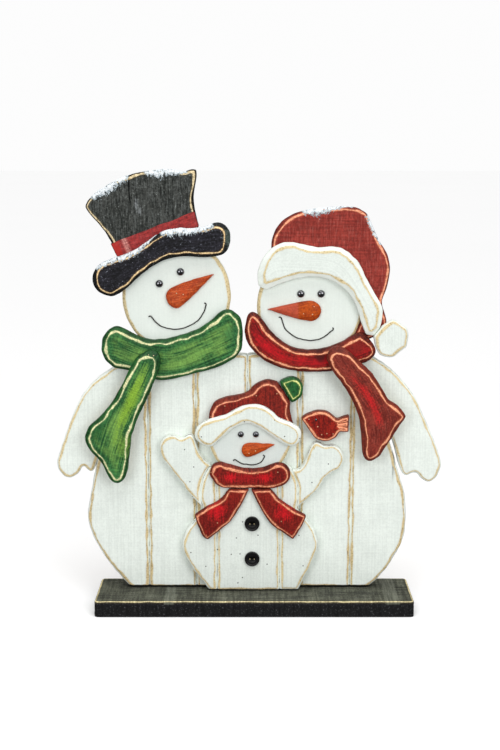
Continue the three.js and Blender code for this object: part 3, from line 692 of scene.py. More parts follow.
cloth = put(tree, "ShaderNodeMix", COLOURS, {"Factor": tone, "A": linear("#661416"), "B": linear("#b53330")})
run = put(tree, "ShaderNodeSeparateXYZ", None, [thread_map]).outputs["X"]
sheen_at, sheen_half, doubled_to = 29.5, 4.5, 22.0  # mm along the strip
# Painted sheen: a pale pink band across the strip just past the left fold, where satin would catch the light.
painted_sheen = put(tree, "ShaderNodeMath", LESS, [run, sheen_at * MM])
painted_sheen = put(tree, "ShaderNodeMath", WITHOUT_SIGN, [painted_sheen])
painted_sheen = put(tree, "ShaderNodeMapRange", SMOOTH, [painted_sheen, sheen_half * MM, 1 * MM, 0, 0.75])
painted_sheen = put(tree, "ShaderNodeMath", TIMES, [painted_sheen, tone])
cloth = put(tree, "ShaderNodeMix", COLOURS, {"Factor": painted_sheen, "A": cloth, "B": linear("#e0a79c")})
doubled = put(tree, "ShaderNodeMapRange", SMOOTH, [run, (doubled_to + 1.5) * MM, (doubled_to - 1.5) * MM])
cloth = put(tree, "ShaderNodeMix", COLOURS, {"Factor": doubled, "A": cloth, "B": linear("#a91c10")})
bump = put(tree, "ShaderNodeBump", None, {"Strength": 0.7, "Distance": 0.2 * MM, "Height": weave})
shader = put(tree, "ShaderNodeBsdfPrincipled", None, {
    "Base Color": cloth, "Roughness": 0.42, "IOR": 1.5, "Specular IOR Level": 0.3, "Sheen Weight": 0.1,
    "Sheen Roughness": 0.4, "Normal": bump})
put(tree, "ShaderNodeOutputMaterial", None, {"Surface": shader})


def solid_sheet(name, under, over, uv=None):
    """A closed thin solid between two grids of points in mm, rows first. over faces outward."""
    rows, columns = over.shape[:2]
    flat = rows * columns
    a, b = np.meshgrid(np.arange(rows - 1), np.arange(columns - 1), indexing="ij")
    first = (a * columns + b).ravel()
    top = np.c_[first, first + columns, first + columns + 1, first + 1]
    border = np.r_[np.arange(columns), np.arange(1, rows) * columns + columns - 1,
                   (rows - 1) * columns + np.arange(columns - 2, -1, -1),
                   np.arange(rows - 2, 0, -1) * columns]
    after = np.roll(border, -1)
    sides = np.c_[border, after, after + flat, border + flat]
    faces = np.vstack([top, top[:, ::-1] + flat, sides])
    mesh = bpy.data.meshes.new(name)
    points = np.vstack([over.reshape(-1, 3), under.reshape(-1, 3)])
    mesh.from_pydata((points * MM).tolist(), [], faces.tolist())
    mesh.update()
    mesh.polygons.foreach_set("use_smooth", np.ones(len(mesh.polygons), bool))
    if uv is not None:
        loops = np.zeros(len(mesh.loops), int)
        mesh.loops.foreach_get("vertex_index", loops)
        both = np.vstack([uv.reshape(-1, 2)] * 2)
        mesh.uv_layers.new(name="thread").data.foreach_set("uv", both[loops].ravel())
    mesh.set_sharp_from_angle(angle=math.radians(60))
    made = bpy.data.objects.new(name, mesh)
    bpy.context.scene.collection.objects.link(made)
    return made


def outward(made):
    """Turns a closed mesh's faces outward."""
    mesh = made.data
    at = np.array([v.co for v in mesh.vertices])
    volume = 0
    for polygon in mesh.polygons:
        corners = at[list(polygon.vertices)]
        for k in range(1, len(corners) - 1):
            volume += np.dot(corners[0], np.cross(corners[k], corners[k + 1]))
    if volume < 0:
        mesh.flip_normals()
    return made


crown_face, crown_back = crown.face, crown.back
ribbon_wide, ribbon_thick, ribbon_gap, pucker_most = 17.5, 0.45, 0.15, 0.2475
left_low, left_high = np.array([-160.6, 424.5]), np.array([-167.6, 440.5])
right_low, right_high = np.array([-66.2, 460.5]), np.array([-71.2, 477.0])
across_count, width_count = 150, 26
route = np.linspace(0, 1, across_count)
down = np.linspace(0, 1, width_count)
side_depth = crown_face - crown_back - 1.5
lengths = np.r_[side_depth, np.hypot(*(right_low - left_low)), side_depth]
travel = route * lengths.sum()
share = np.clip((travel - lengths[0]) / lengths[1], 0, 1)
from_left, from_right = travel - lengths[0], travel - lengths[0] - lengths[1]
outwards = crown_face - np.clip(-from_left, 0, None) - np.clip(from_right, 0, None)
near_fold = np.exp(-(np.minimum(np.abs(from_left), np.abs(from_right)) / 2.2) ** 2)
edge_sway = 0.35 * waver(travel, travel * 0, 26, 41)
ribbon_under, ribbon_over = [], []
for extra, rows in ((ribbon_gap, ribbon_under), (ribbon_gap + ribbon_thick, ribbon_over)):
    for i, part in enumerate(share):
        low = left_low + (right_low - left_low) * part
        high = left_high + (right_high - left_high) * part
        line = low + (high - low) * down[:, None] + np.array([0, 1]) * edge_sway[i] * (1 - 2 * down[:, None])
        beyond = (1 if part >= 1 else -1 if part <= 0 else 0)
        pucker = pucker_most * (0.5 + 0.5 * waver(travel[i] + 0 * down, 18 * down, 11, 42))
        bulge = 0.5 * near_fold[i]
        push = extra + 0.35
        x = line[:, 0] + beyond * push
        z = line[:, 1]
        w = outwards[i] + (extra + pucker + bulge if beyond == 0 else 0)
        rows.append(np.c_[x, -(w + 0 * x), z])
thread = np.stack(np.broadcast_arrays(travel[:, None] * MM, down[None] * ribbon_wide * MM), -1)
ribbon = outward(solid_sheet("satin_hat_ribbon", np.array(ribbon_under), np.array(ribbon_over), thread))
ribbon.data.materials.append(satin)
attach(ribbon, "root")
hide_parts("hat_ribbon")

# ---------------------------------------------------------------------------------------------------
# Scarves: each wrap and tail is its own sawn board, painted dark, glazed lighter along the middle,
# and sanded hard along its edge.
# ---------------------------------------------------------------------------------------------------
# Two greens brushed wet over each other: dark at the edges, yellower and streaky along the middle.
green_coat = dict(face="#38753c", deep="#164a24", band=("#103a1a", "#255c2b"), bare=("#e6e1ad", "#93b97a"),
                  glow="#6f9c48", glow_from=(3.5, 11), line=1.15, worn=0.35, halo=0.3, streaks=(1.0, 24),
                  contrast=0.55, fleck=0.26, rough=0.5, relief=0.22, gloss=0.25, sawn=(2.4, 0.16))
green = painted("green_acrylic_with_a_yellow_glaze", **green_coat, patches=[
    (-184, 322, 12, 14, 0.8, "#2c6a3a", 0.6), (-25, 336, 14, 14, 0.8, "#2c6a3a", 0.6)])
lime = painted("green_acrylic_with_a_lime_streak", **green_coat, patches=[
    (80, -1.5, 56, 9, 0.85, "#8ab22c", 0.75, True), (-156, 203, 12, 22, 0.9, "#7da034", 0.5),
    (-186, 221, 12, 16, 0.8, "#1d5526", 0.6)])
# Brick red under a crimson glaze: bright and streaky along the middle, brown-red at the edge.
# The near-black patch just left of the tail's upper end is a painted shadow of the tail on the wrap.
scarlet = painted("brick_red_acrylic_with_crimson_glaze", face="#9c1a14", deep="#5c0c09",
                  band=("#42110c", "#6e271c"), bare=("#f0a680", "#c4603f"), glow="#b50c17",
                  glow_from=(1.5, 8), line=0.95, worn=0.5, halo=0.35, streaks=(1.0, 14), contrast=0.5,
                  fleck=0.3, rough=0.55, relief=0.22, gloss=0.2,
                  patches=[(78, 309, 9, 12, 0.6, "#3c0b08", 0.85), (118, 320, 20, 14, 0.9, "#7c2018", 0.75)])
# Rust red, drier, with one brighter crimson stroke down it.
rust = painted("rust_red_acrylic_with_a_crimson_streak", face="#863024", deep="#641b12",
               band=("#5a1f17", "#7c3023"), bare=("#f0a680", "#c4603f"), line=0.95, worn=0.5, halo=0.35,
               streaks=(1.0, 10), contrast=0.5, fleck=0.26, wash=("#a8584a", 0.45), rough=0.55, relief=0.22,
               gloss=0.2, patches=[(84, 0, 46, 7.5, 0.95, "#c8181d", 0.8, True)])
scarves = {
    "scarf_green_wrap": (green, [(-190, 320), (-165, 318), (-130, 306), (-95, 304), (-60, 316), (-8, 340)],
                         []),
    "scarf_green_tail": (lime, [(-112, 330), (-122, 305), (-140, 265), (-160, 220), (-172, 180), (-176, 150)],
                         [(-118, 316, 9, 4.5)]),
    "scarf_red_wrap": (scarlet, [(-10, 366), (5, 335), (35, 309), (70, 302), (105, 309), (150, 322)],
                       [(128, 333, 14, 2.0)]),
    "scarf_red_tail": (rust, [(88, 326), (105, 300), (130, 268), (146, 240), (150, 205), (150, 175)],
                       [(98, 322, 11, 4.5), (128, 212, 14, 2.6), (122, 240, 13, 1.8)]),
}
for node, (paint, spine, wide) in scarves.items():
    board = Board("painted_" + node, cad_outline(node), *levels(node), ease=4.6, drop=3.6, spine=spine,
                  wide=wide)
    dress(board, paint, pine)
    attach(board.piece, "root")
    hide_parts(node)

# ---------------------------------------------------------------------------------------------------
# Stocking cap: a drooping crown in matt brick red, with a white trim and a whittled pompom.
# ---------------------------------------------------------------------------------------------------
# Matt brick red: dull and even, a little chalky where it is thin.
brick = painted("matt_brick_acrylic_on_sawn_pine", face="#96382f", deep="#7c2922",
                band=("#5a1e19", "#7a2c24"), bare=("#f4a884", "#d87452"), line=1.0, worn=0.6, halo=0.3,
                streaks=(1.4, 12), contrast=0.45, fleck=0.14, rough=0.75, wash=("#b8695e", 0.5), relief=0.2,
                sawn=(2.2, 0.2), gloss=0.2)
stocking_crown = Board("painted_stocking_cap_crown", cad_outline("stocking_cap_crown"),
                       *levels("stocking_cap_crown"), ease=2.7, drop=2.3, grain=90, wide=[(28, 455, 22, 1.2)])
dress(stocking_crown, brick, pine)
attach(stocking_crown.piece, "root")
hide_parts("stocking_cap_crown")
# The white again, with a wider rubbed line on its deeper edge.
trim_white = painted("white_acrylic_on_shaped_trim", sawn=(2.4, 0.015), dirt_and_gap_shade=0.2,
                     **{**chalk, "line": 1.15, "worn": 0.6, "halo": 0.2})
trim = Board("painted_stocking_cap_trim", cad_outline("stocking_cap_trim"), *levels("stocking_cap_trim"),
             ease=5.6, drop=3.8, spine=[(-5, 395), (20, 418), (60, 420), (95, 415), (120, 385), (140, 345),
                                        (146, 320)], wide=[(8, 405, 16, 3.0)])
pompom = Board("painted_stocking_cap_pompom", cad_outline("stocking_cap_pompom", corner=24, soften=1),
               *levels("stocking_cap_pompom"), ease=2.6, drop=2.4)
for board, node in ((trim, "stocking_cap_trim"), (pompom, "stocking_cap_pompom")):
    dress(board, trim_white, pine)
    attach(board.piece, "root")
    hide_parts(node)

# ---------------------------------------------------------------------------------------------------
# The child: body boards, arms, head, cap and scarf, in thinner stock glued on the planks.
# ---------------------------------------------------------------------------------------------------
# The white with stray dark specks from a loaded brush.
speckled = painted("white_acrylic_with_stray_specks", sawn=(2.4, 0.01), specks=18, dirt_and_gap_shade=0.6, contact_shadow_height=20.9,
                   **chalk)
# The sanded white, a shade greyer and cooler: painted shade over the child's face below the cap.
shaded_child_white = painted("sanded_white_acrylic_with_painted_shade", bare_edge=True,
                       **{**sanded, "face": "#dbe2dd", "deep": "#d6ddd8"})
for node, paint, ease in (("child_board_left", speckled, 2.9), ("child_board_middle", speckled, 2.7),
                          ("child_board_right", speckled, 2.9), ("child_arm_left", speckled, 2.6),
                          ("child_arm_right", speckled, 2.6), ("child_head", shaded_child_white, 2.3),
                          ("child_cap_brim", speckled, 3.9)):
    board = Board("painted_" + node, cad_outline(node), *levels(node), ease=ease, drop=0.8 * ease, swell=0.15)
    dress(board, paint, pine)
    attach(board.piece, "root")
    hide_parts(node)
# Brick red on small pieces: a deep red worn brighter in the middle, with salmon edges.
child_red = dict(face="#861c13", deep="#64100a", band=("#4a130c", "#7c2d20"), bare=("#e89a76", "#b4583c"),
                 line=0.8, worn=0.5, halo=0.45, streaks=(1.0, 9), contrast=0.5, fleck=0.3, rough=0.5,
                 relief=0.2, specks=19, speck_colour="#b98a68", gloss=0.2)
child_wrap_red = painted("brick_red_acrylic_rubbed_at_the_middle", **{**child_red, "line": 1.2}, patches=[
    (-28, 163, 10, 8, 0.9, "#d40f1c", 0.95), (13, 163, 13, 8, 0.9, "#d40f1c", 0.9),
    (-8, 163, 32, 8, 0.9, "#a81018", 0.6)])
# The near-black strip along the tails' tops is a painted shadow under the wrap.
child_tail_red = painted("brick_red_acrylic_with_painted_shadow_under_the_wrap", **child_red, patches=[
    (-44, 121, 15, 14, 0.9, "#cc101c", 0.8), (36, 119, 15, 14, 0.9, "#cc101c", 0.8),
    (-4, 153.5, 26, 5.5, 0.3, "#190504", 0.95)])
child_cap_red = painted("dull_brick_acrylic_on_a_rounded_cap", face="#8a2317", deep="#63150d",
                        band=("#581a11", "#7d3022"), bare=("#f0a27e", "#c2664a"), line=0.9, worn=0.45,
                        halo=0.45, streaks=(1.0, 9), contrast=0.45, fleck=0.26, rough=0.55, relief=0.2,
                        specks=14, speck_colour="#b98a68", gloss=0.2)
child_reds = {
    "child_cap_crown": (child_cap_red, 4.6, []),
    "child_scarf_wrap": (child_wrap_red, 4.2, [(x, 149, 10, -1.5) for x in (-40, -22, -4, 14, 30)]),
    "child_scarf_tail_left": (child_tail_red, 2.8, []),
    "child_scarf_tail_right": (child_tail_red, 2.8, []),
}
for node, (paint, ease, wide) in child_reds.items():
    board = Board("painted_" + node, cad_outline(node), *levels(node), ease=ease, drop=2.6, wide=wide)
    dress(board, paint, pine)
    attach(board.piece, "root")
    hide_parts(node)
# Dark green, rubbed to a pale yellow-green ring.
pale_ringed = painted("dark_green_acrylic_with_a_rubbed_ring", face="#24682f", deep="#154520",
                      band=("#143f1d", "#20602b"), bare=("#dfe08e", "#8db054"), line=0.7, worn=0.4,
                      halo=0.3, streaks=(1.0, 10), contrast=0.5, fleck=0.3, rough=0.42, gloss=0.3)
board = Board("painted_child_cap_pompom", cad_outline("child_cap_pompom"), *levels("child_cap_pompom"),
              ease=3.8, drop=2.2)
dress(board, pale_ringed, pine)
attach(board.piece, "root")
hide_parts("child_cap_pompom")

# ---------------------------------------------------------------------------------------------------
# The bird beside the child's hand, with saw cuts for tail feathers and a painted bead for its eye.
# ---------------------------------------------------------------------------------------------------
# Dark crimson: flat and deep, with salmon edges and fine pale specks.
bird_red = painted("dark_crimson_acrylic_on_pine", face="#961d0e", deep="#640e07",
                   band=("#5c1e14", "#8a3a28"), bare=("#f2a680", "#d4714d"), line=0.9, worn=0.7, halo=0.3,
                   streaks=(1.0, 9), contrast=0.5, fleck=0.32, rough=0.5, specks=9, speck_colour="#c09070",
                   gloss=0.2)
bird = Board("painted_bird", cad_outline("bird"), *levels("bird"), ease=2.3, drop=2.0, pitch=2.0,
             grooves=[([(101, 227), (107, 228), (114, 229.5)], 0.9, 2.4, True),
                      ([(101, 224), (107, 223), (114, 221.8)], 0.9, 2.4, True)])
dress(bird, bird_red, pine)
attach(bird.piece, "root")
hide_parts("bird")

# ---------------------------------------------------------------------------------------------------
# Carrot noses, whittled round and painted orange.
# ---------------------------------------------------------------------------------------------------
noses = {"left": ("#c4521f", "#9e360f", "#d98a5c", [(-84, 384, 9, 8, 0.9, "#b23a10", 0.6)]),
         "right": ("#b84a02", "#983502", "#c05c14", [(28, 366, 26, 60, 0.15, "#b94e38", 0.8)]),
         "child": ("#c04c0e", "#9a3805", "#cf7440", [])}
for who, (face, deep, pale, patches) in noses.items():
    node = "nose_" + who
    # Orange acrylic: a warm, slightly waxy orange, paler along the grain.
    carrot = painted("orange_acrylic_on_whittled_pine_" + who, face=face, deep=deep, band=(deep, face),
                     bare=(deep, deep), line=0.1, worn=0.2, halo=0, streaks=(1.0, 14), contrast=0.5,
                     fleck=0.22, wash=(pale, 0.5), rough=0.5, relief=0.16, gloss=0.25, patches=patches)
    board = Board("painted_" + node, cad_outline(node, step=0.8), *levels(node), drop=4.4, dome=8, pitch=1.6,
                  step=0.8, grain=10)
    dress(board, carrot, pine)
    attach(board.piece, "root")
    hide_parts(node)

# ---------------------------------------------------------------------------------------------------
# Bead eyes: half beads plated in black nickel, pressed on the heads. The bird's is a smaller one.
# ---------------------------------------------------------------------------------------------------
def turned(name, profile, centre, steps=40):
    """A turned part that faces the front. profile is (radius, height) in mm, out from the axis and back."""
    angle = np.linspace(0, 2 * math.pi, steps, endpoint=False)
    corners, faces = [], []
    for radius, height in profile:
        if radius == 0:
            corners.append([(centre[0], centre[1] - height, centre[2])])
        else:
            corners.append(list(zip(centre[0] + radius * np.cos(angle), np.full(steps, centre[1] - height),
                                    centre[2] + radius * np.sin(angle))))
    first = np.r_[0, np.cumsum([len(ring) for ring in corners])]
    for k in range(len(corners) - 1):
        here, there = len(corners[k]), len(corners[k + 1])
        for i in range(steps):
            j = (i + 1) % steps
            quad = [first[k] + i % here, first[k] + j % here,
                    first[k + 1] + j % there, first[k + 1] + i % there]
            faces.append([int(q) for n, q in enumerate(quad) if q not in quad[:n]])
    mesh = bpy.data.meshes.new(name)
    mesh.from_pydata((np.vstack(corners) * MM).tolist(), [], faces)
    mesh.update()
    mesh.polygons.foreach_set("use_smooth", np.ones(len(mesh.polygons), bool))
    mesh.set_sharp_from_angle(angle=math.radians(45))
    made = bpy.data.objects.new(name, mesh)
    bpy.context.scene.collection.objects.link(made)
    return outward(made)


def plain(name, colour, rough, metallic=0.0, grain=0.4, coat=0.0, uneven=0.1, relief=0.03, level=0.5):
    """One colour, with the slight unevenness of handling. Its grain and relief are in mm."""
    material = bpy.data.materials.new(name)
    material.use_nodes = True
    tree = material.node_tree
    tree.nodes.clear()
    wear = put(tree, "ShaderNodeTexNoise", None, {
        "Vector": put(tree, "ShaderNodeTexCoord").outputs["Object"], "Scale": every(grain), "Detail": 3})
    shades = [tuple(c * k for c in linear(colour)[:3]) + (1.0,) for k in (0.75, 1.3)]
    tint = put(tree, "ShaderNodeMix", COLOURS, {"Factor": wear, "A": shades[0], "B": shades[1]})
    gloss = put(tree, "ShaderNodeMath", TIMES_PLUS, [wear, uneven, rough - uneven / 2])
    bump = put(tree, "ShaderNodeBump", None, {"Strength": 0.6, "Distance": relief * MM, "Height": wear})
    shader = put(tree, "ShaderNodeBsdfPrincipled", None, {
        "Base Color": tint, "Roughness": gloss, "Metallic": metallic, "IOR": 1.5, "Coat Weight": coat,
        "Coat Roughness": 0.08, "Specular IOR Level": level, "Normal": bump})
    put(tree, "ShaderNodeOutputMaterial", None, {"Surface": shader})
    return material


# Black nickel plate: a dark mirror that shows one sharp highlight.
bead_black = plain("gloss_black_nickel_bead", "#6e6e72", 0.14, metallic=1.0, grain=1.4, uneven=0.06,
                   relief=0.01)
# Both in radii, from the wood outwards.
bead_profile = [(0, -0.4), (1, -0.4), (1, 0.06), (0.985, 0.2), (0.93, 0.36), (0.83, 0.51), (0.68, 0.64),
                (0.5, 0.73), (0.26, 0.785), (0, 0.8)]
for node in [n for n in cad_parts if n.startswith("eye_")]:
    low, high = (np.array(corner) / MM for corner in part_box(node))
    middle, radius = (low + high) / 2, (high[0] - low[0]) / 2
    bead = turned("bead_" + node, [(r * radius, h * radius) for r, h in bead_profile],
                  (middle[0], high[1], middle[2]))
    bead.data.materials.append(bead_black)
    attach(bead, "root")
    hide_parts(node)
bird_eye = turned("bead_bird_eye", [(0, -0.6), (1.5, -0.6), (1.5, 0.15), (1.2, 0.5), (0.6, 0.7), (0, 0.75)],
                  (73.6, -bird.face, 231.6), 20)
bird_eye.data.materials.append(bead_black)
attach(bird_eye, "root")

# ---------------------------------------------------------------------------------------------------
# Smiles: black annealed wire, bent by hand and tapped into the wood at both ends, where each is nipped
# off with a small hook.
# ---------------------------------------------------------------------------------------------------
# Annealed wire: brown-black with a soft dull shine.
wire_black = plain("black_annealed_wire", "#2a2623", 0.45, metallic=0.3, grain=0.7)
wire_radius = 0.72
smiles = {
    "left": (crown_face, [
        (-122, 354), (-114, 345), (-103, 340), (-90, 339), (-77, 343), (-66, 350), (-60, 359), (-57, 368)]),
    "right": (crown_face, [(32, 352), (36, 341), (45, 332), (56, 327), (68, 325.5), (80, 328), (93, 338)]),
    "child": (-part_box("child_head")[0].y / MM, [
        (-22, 183), (-15, 178.5), (-6, 177), (3, 177.5), (9, 181), (12, 186)]),
}
for who, (face, bends) in smiles.items():
    bends = np.array(bends, float)
    arc = evenly(curve_through(bends), 1.0)
    arc = arc + 0.18 * np.c_[waver(*arc.T, 13, 51), waver(*arc.T, 11, 52)]
    lift = 0.62 * wire_radius + 0.12 * (1 + waver(*arc.T, 19, 53))
    path = np.c_[arc[:, 0], -(face + lift), arc[:, 1]]
    ends = []
    for tip, inner in ((path[0], path[3]), (path[-1], path[-4])):
        way = (tip - inner) / np.linalg.norm(tip - inner)
        over = np.array([-way[2], 0, way[0]])
        ends.append([tip + way * 0.9 + over * 0.3, tip + way * 1.7 + over * 1.0, tip + way * 1.7 + over * 2.1,
                     tip + way * 1.0 + over * 2.6 + (0, 2.2, 0)])
    path = np.vstack([ends[0][::-1], path, ends[1]])
    way = np.gradient(path, axis=0)
    way /= np.linalg.norm(way, axis=1)[:, None]
    side = np.cross(way, (0, 1, 0))
    side /= np.linalg.norm(side, axis=1)[:, None]
    front = np.cross(side, way)
    turn = np.linspace(0, 2 * math.pi, 10, endpoint=False)
    rings = path[:, None] + wire_radius * (np.cos(turn)[None, :, None] * side[:, None]
                                           + np.sin(turn)[None, :, None] * front[:, None])
    count = len(turn)
    faces = []
    for k in range(len(path) - 1):
        here, there = ([ring * count + i for i in range(count)] for ring in (k, k + 1))
        faces += zip(here, here[1:] + here[:1], there[1:] + there[:1], there)
    faces += [list(range(count))[::-1], list(range((len(path) - 1) * count, len(path) * count))]
    mesh = bpy.data.meshes.new("wire_smile_" + who)
    mesh.from_pydata((rings.reshape(-1, 3) * MM).tolist(), [], faces)
    mesh.update()
    mesh.polygons.foreach_set("use_smooth", np.ones(len(mesh.polygons), bool))
    mesh.set_sharp_from_angle(angle=math.radians(50))
    wire = bpy.data.objects.new("wire_smile_" + who, mesh)
    bpy.context.scene.collection.objects.link(wire)
    outward(wire)
    wire.data.materials.append(wire_black)
    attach(wire, "root")
    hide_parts("smile_" + who)

# ---------------------------------------------------------------------------------------------------
# Buttons: turned black plastic with a raised rim, a shallow dish and two holes. Each is pinned to the
# child with a brad through either hole.
# ---------------------------------------------------------------------------------------------------
# Moulded plastic: black with a broad, soft highlight.
button_black = plain("satin_black_plastic", "#0c0c0d", 0.4, grain=2, uneven=0.2, relief=0.1, level=0.3)
hole_reach, hole_radius, hole_floor = 2.6, 1.15, 0.9
dish_radius, dish_level = 6.0, 2.55
around, around_hole = 48, 12  # corners round the button and round a hole
rim_profile = [(0, 0), (9, 0), (9.0, 2.4), (8.85, 3.0), (8.4, 3.45), (7.9, 3.5), (7.5, 3.35), (7.1, 2.8),
               (6.6, 2.6), (dish_radius, dish_level)]
button_places = []
for node in ("button_upper", "button_lower"):
    low, high = (np.array(corner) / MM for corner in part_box(node))
    middle = ((low[0] + high[0]) / 2, high[1], (low[2] + high[2]) / 2)
    angle = np.linspace(0, 2 * math.pi, around, endpoint=False)
    loop = np.c_[np.cos(angle), np.sin(angle)]
    small = loop[::around // around_hole]
    holes = [small * hole_radius + (side * hole_reach, 0) for side in (-1, 1)]
    dish = np.vstack([loop * dish_radius, loop[::2] * 4.9, *holes])
    fence = [(i, (i + 1) % around) for i in range(around)]
    for start in (len(dish) - 2 * around_hole, len(dish) - around_hole):
        fence += [(start + i, start + (i + 1) % around_hole) for i in range(around_hole)]
    found = delaunay_2d_cdt([Vector(p) for p in dish], fence, [], 1, 1e-5)
    at = np.array([tuple(p) for p in found[0]])
    flat = []
    for face in found[2]:
        u, v = at[list(face)].mean(0)
        if math.dist((abs(u), v), (hole_reach, 0)) > 0.9 * hole_radius:
            flat.append(face)
    corners = [(*p, dish_level) for p in at]
    for side, ring in zip((-1, 1), holes):
        near = [int(np.argmin(np.hypot(*(at - p).T))) for p in ring]
        start = len(corners)
        corners += [(*p, hole_floor) for p in ring]
        low_ring = list(range(start, start + around_hole))
        flat += zip(near, near[1:] + near[:1], low_ring[1:] + low_ring[:1], low_ring)
        flat.append(tuple(low_ring))
        button_places.append((middle[0] + side * hole_reach, middle[1] - 2.2, middle[2]))
    outer = [int(np.argmin(np.hypot(*(at - p).T))) for p in loop * dish_radius]
    for radius, height in rim_profile[:0:-1][1:]:
        start = len(corners)
        corners += [(*(p * radius), height) for p in loop]
        ring = list(range(start, start + around))
        flat += zip(outer, ring, ring[1:] + ring[:1], outer[1:] + outer[:1])
        outer = ring
    flat.append(tuple(reversed(outer)))
    corners = np.array(corners)
    placed = np.c_[middle[0] + corners[:, 0], middle[1] - corners[:, 2], middle[2] + corners[:, 1]]
    mesh = bpy.data.meshes.new("turned_" + node)
    mesh.from_pydata((placed * MM).tolist(), [], [tuple(map(int, f)) for f in flat])
    mesh.update()
    mesh.polygons.foreach_set("use_smooth", np.ones(len(mesh.polygons), bool))
    mesh.set_sharp_from_angle(angle=math.radians(40))
    button = bpy.data.objects.new("turned_" + node, mesh)
    bpy.context.scene.collection.objects.link(button)
    outward(button)
    button.data.materials.append(button_black)
    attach(button, "root")
    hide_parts(node)

# ---------------------------------------------------------------------------------------------------
# Brads: small brass-plated steel pins shot through the noses, the buttons and the green scarf's tail. Only
# the heads show. Geometry Nodes sets one head at each place.
# ---------------------------------------------------------------------------------------------------
def repeated(name, places, template, material, seed, spin=0.0, jitter=0.15):
    """Copies of a template mesh at places in mm, made with Geometry Nodes and applied as one plain mesh."""
    tree = bpy.data.node_groups.new(name, "GeometryNodeTree")
    face = tree.interface
    face.new_socket("Places", in_out="INPUT", socket_type="NodeSocketGeometry")
    asked = {"Template": ("NodeSocketObject", template), "Seed": ("NodeSocketInt", seed),
             "Spin": ("NodeSocketFloat", spin), "Jitter": ("NodeSocketFloat", jitter),
             "Finish": ("NodeSocketMaterial", material)}
    keys = {key: face.new_socket(key, in_out="INPUT", socket_type=kind) for key, (kind, _) in asked.items()}
    face.new_socket("Copies", in_out="OUTPUT", socket_type="NodeSocketGeometry")
    given = put(tree, "NodeGroupInput")
    turn = put(tree, "FunctionNodeRandomValue", {"data_type": "FLOAT"}, {
        "Min": put(tree, "ShaderNodeMath", TIMES, [given.outputs["Spin"], -1.0]),
        "Max": given.outputs["Spin"], "Seed": given.outputs["Seed"]})
    size = put(tree, "FunctionNodeRandomValue", {"data_type": "FLOAT"}, {
        "Min": put(tree, "ShaderNodeMath", LESS, [1.0, given.outputs["Jitter"]]),
        "Max": put(tree, "ShaderNodeMath", PLUS, [1.0, given.outputs["Jitter"]]),
        "Seed": given.outputs["Seed"]})
    shape = put(tree, "GeometryNodeObjectInfo", None, {"Object": given.outputs["Template"]})
    copies = put(tree, "GeometryNodeInstanceOnPoints", None, {
        "Points": given.outputs["Places"], "Instance": shape.outputs["Geometry"],
        "Rotation": put(tree, "ShaderNodeCombineXYZ", None, {"Y": turn.outputs["Value"]}),
        "Scale": size.outputs["Value"]})
    real = put(tree, "GeometryNodeRealizeInstances", None, {"Geometry": copies})
    finished = put(tree, "GeometryNodeSetMaterial", None, {
        "Geometry": real, "Material": given.outputs["Finish"]})
    put(tree, "NodeGroupOutput", None, {"Copies": finished})
    points = bpy.data.meshes.new(name)
    points.from_pydata((np.array(places) * MM).tolist(), [], [])
    maker = bpy.data.objects.new(name + "_places", points)
    bpy.context.scene.collection.objects.link(maker)
    modifier = maker.modifiers.new("copies", "NODES")
    modifier.node_group = tree
    for key, (_, value) in asked.items():
        modifier[keys[key].identifier] = value
    graph = bpy.context.evaluated_depsgraph_get()
    mesh = bpy.data.meshes.new_from_object(maker.evaluated_get(graph), depsgraph=graph)
    bpy.data.objects.remove(maker)
    bpy.data.objects.remove(template)
    mesh.name = name
    made = bpy.data.objects.new(name, mesh)
    bpy.context.scene.collection.objects.link(made)
    return made


# Brass-plated steel: tiny pale warm dots.
brass_plated = plain("pale_brass_plated_brad", "#d8caa2", 0.4, metallic=0.35, grain=0.35)
brad_head = [(0, -1.2), (0.62, -1.2), (0.62, 0.1), (0.55, 0.32), (0.32, 0.45), (0, 0.48)]
nose_face = {who: -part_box("nose_" + who)[0].y / MM for who in noses}
brad_places = [(x, -(nose_face[who] - sunk), z) for who, x, z, sunk in (
    ("left", -91.4, 382.3, 0.1), ("left", -83.5, 380.9, 0.2), ("left", -77.5, 388.3, 0.6),
    ("right", 58.1, 358.1, 0.1), ("right", 68.7, 357.2, 0.2), ("right", 70.5, 366.5, 0.6),
    ("child", -6.2, 192.0, 0.2), ("child", 1.6, 195.1, 0.3))]
tail_face = -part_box("scarf_green_tail")[0].y / MM
brad_sunk = 1.9
brad_places += [(x, -(tail_face - brad_sunk), z) for x, z in ((-124.0, 311.5), (-118.2, 310.6))]
brad_places += button_places
brads = repeated("steel_brads", brad_places, turned("brad_template", brad_head, (0, 0, 0), 14),
                 brass_plated, 7, 3.14)
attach(brads, "root")

# ---------------------------------------------------------------------------------------------------
# Battens across the back hold the planks together. Each is screwed to every plank through its middle.
# The screws are zinc-plated, with a countersunk head and a driver recess.
# ---------------------------------------------------------------------------------------------------
FACING_BACK = np.array([[-1, 0, 0], [0, 0, 1], [0, 1, 0]])  # across, up and outwards become -X, Z and Y
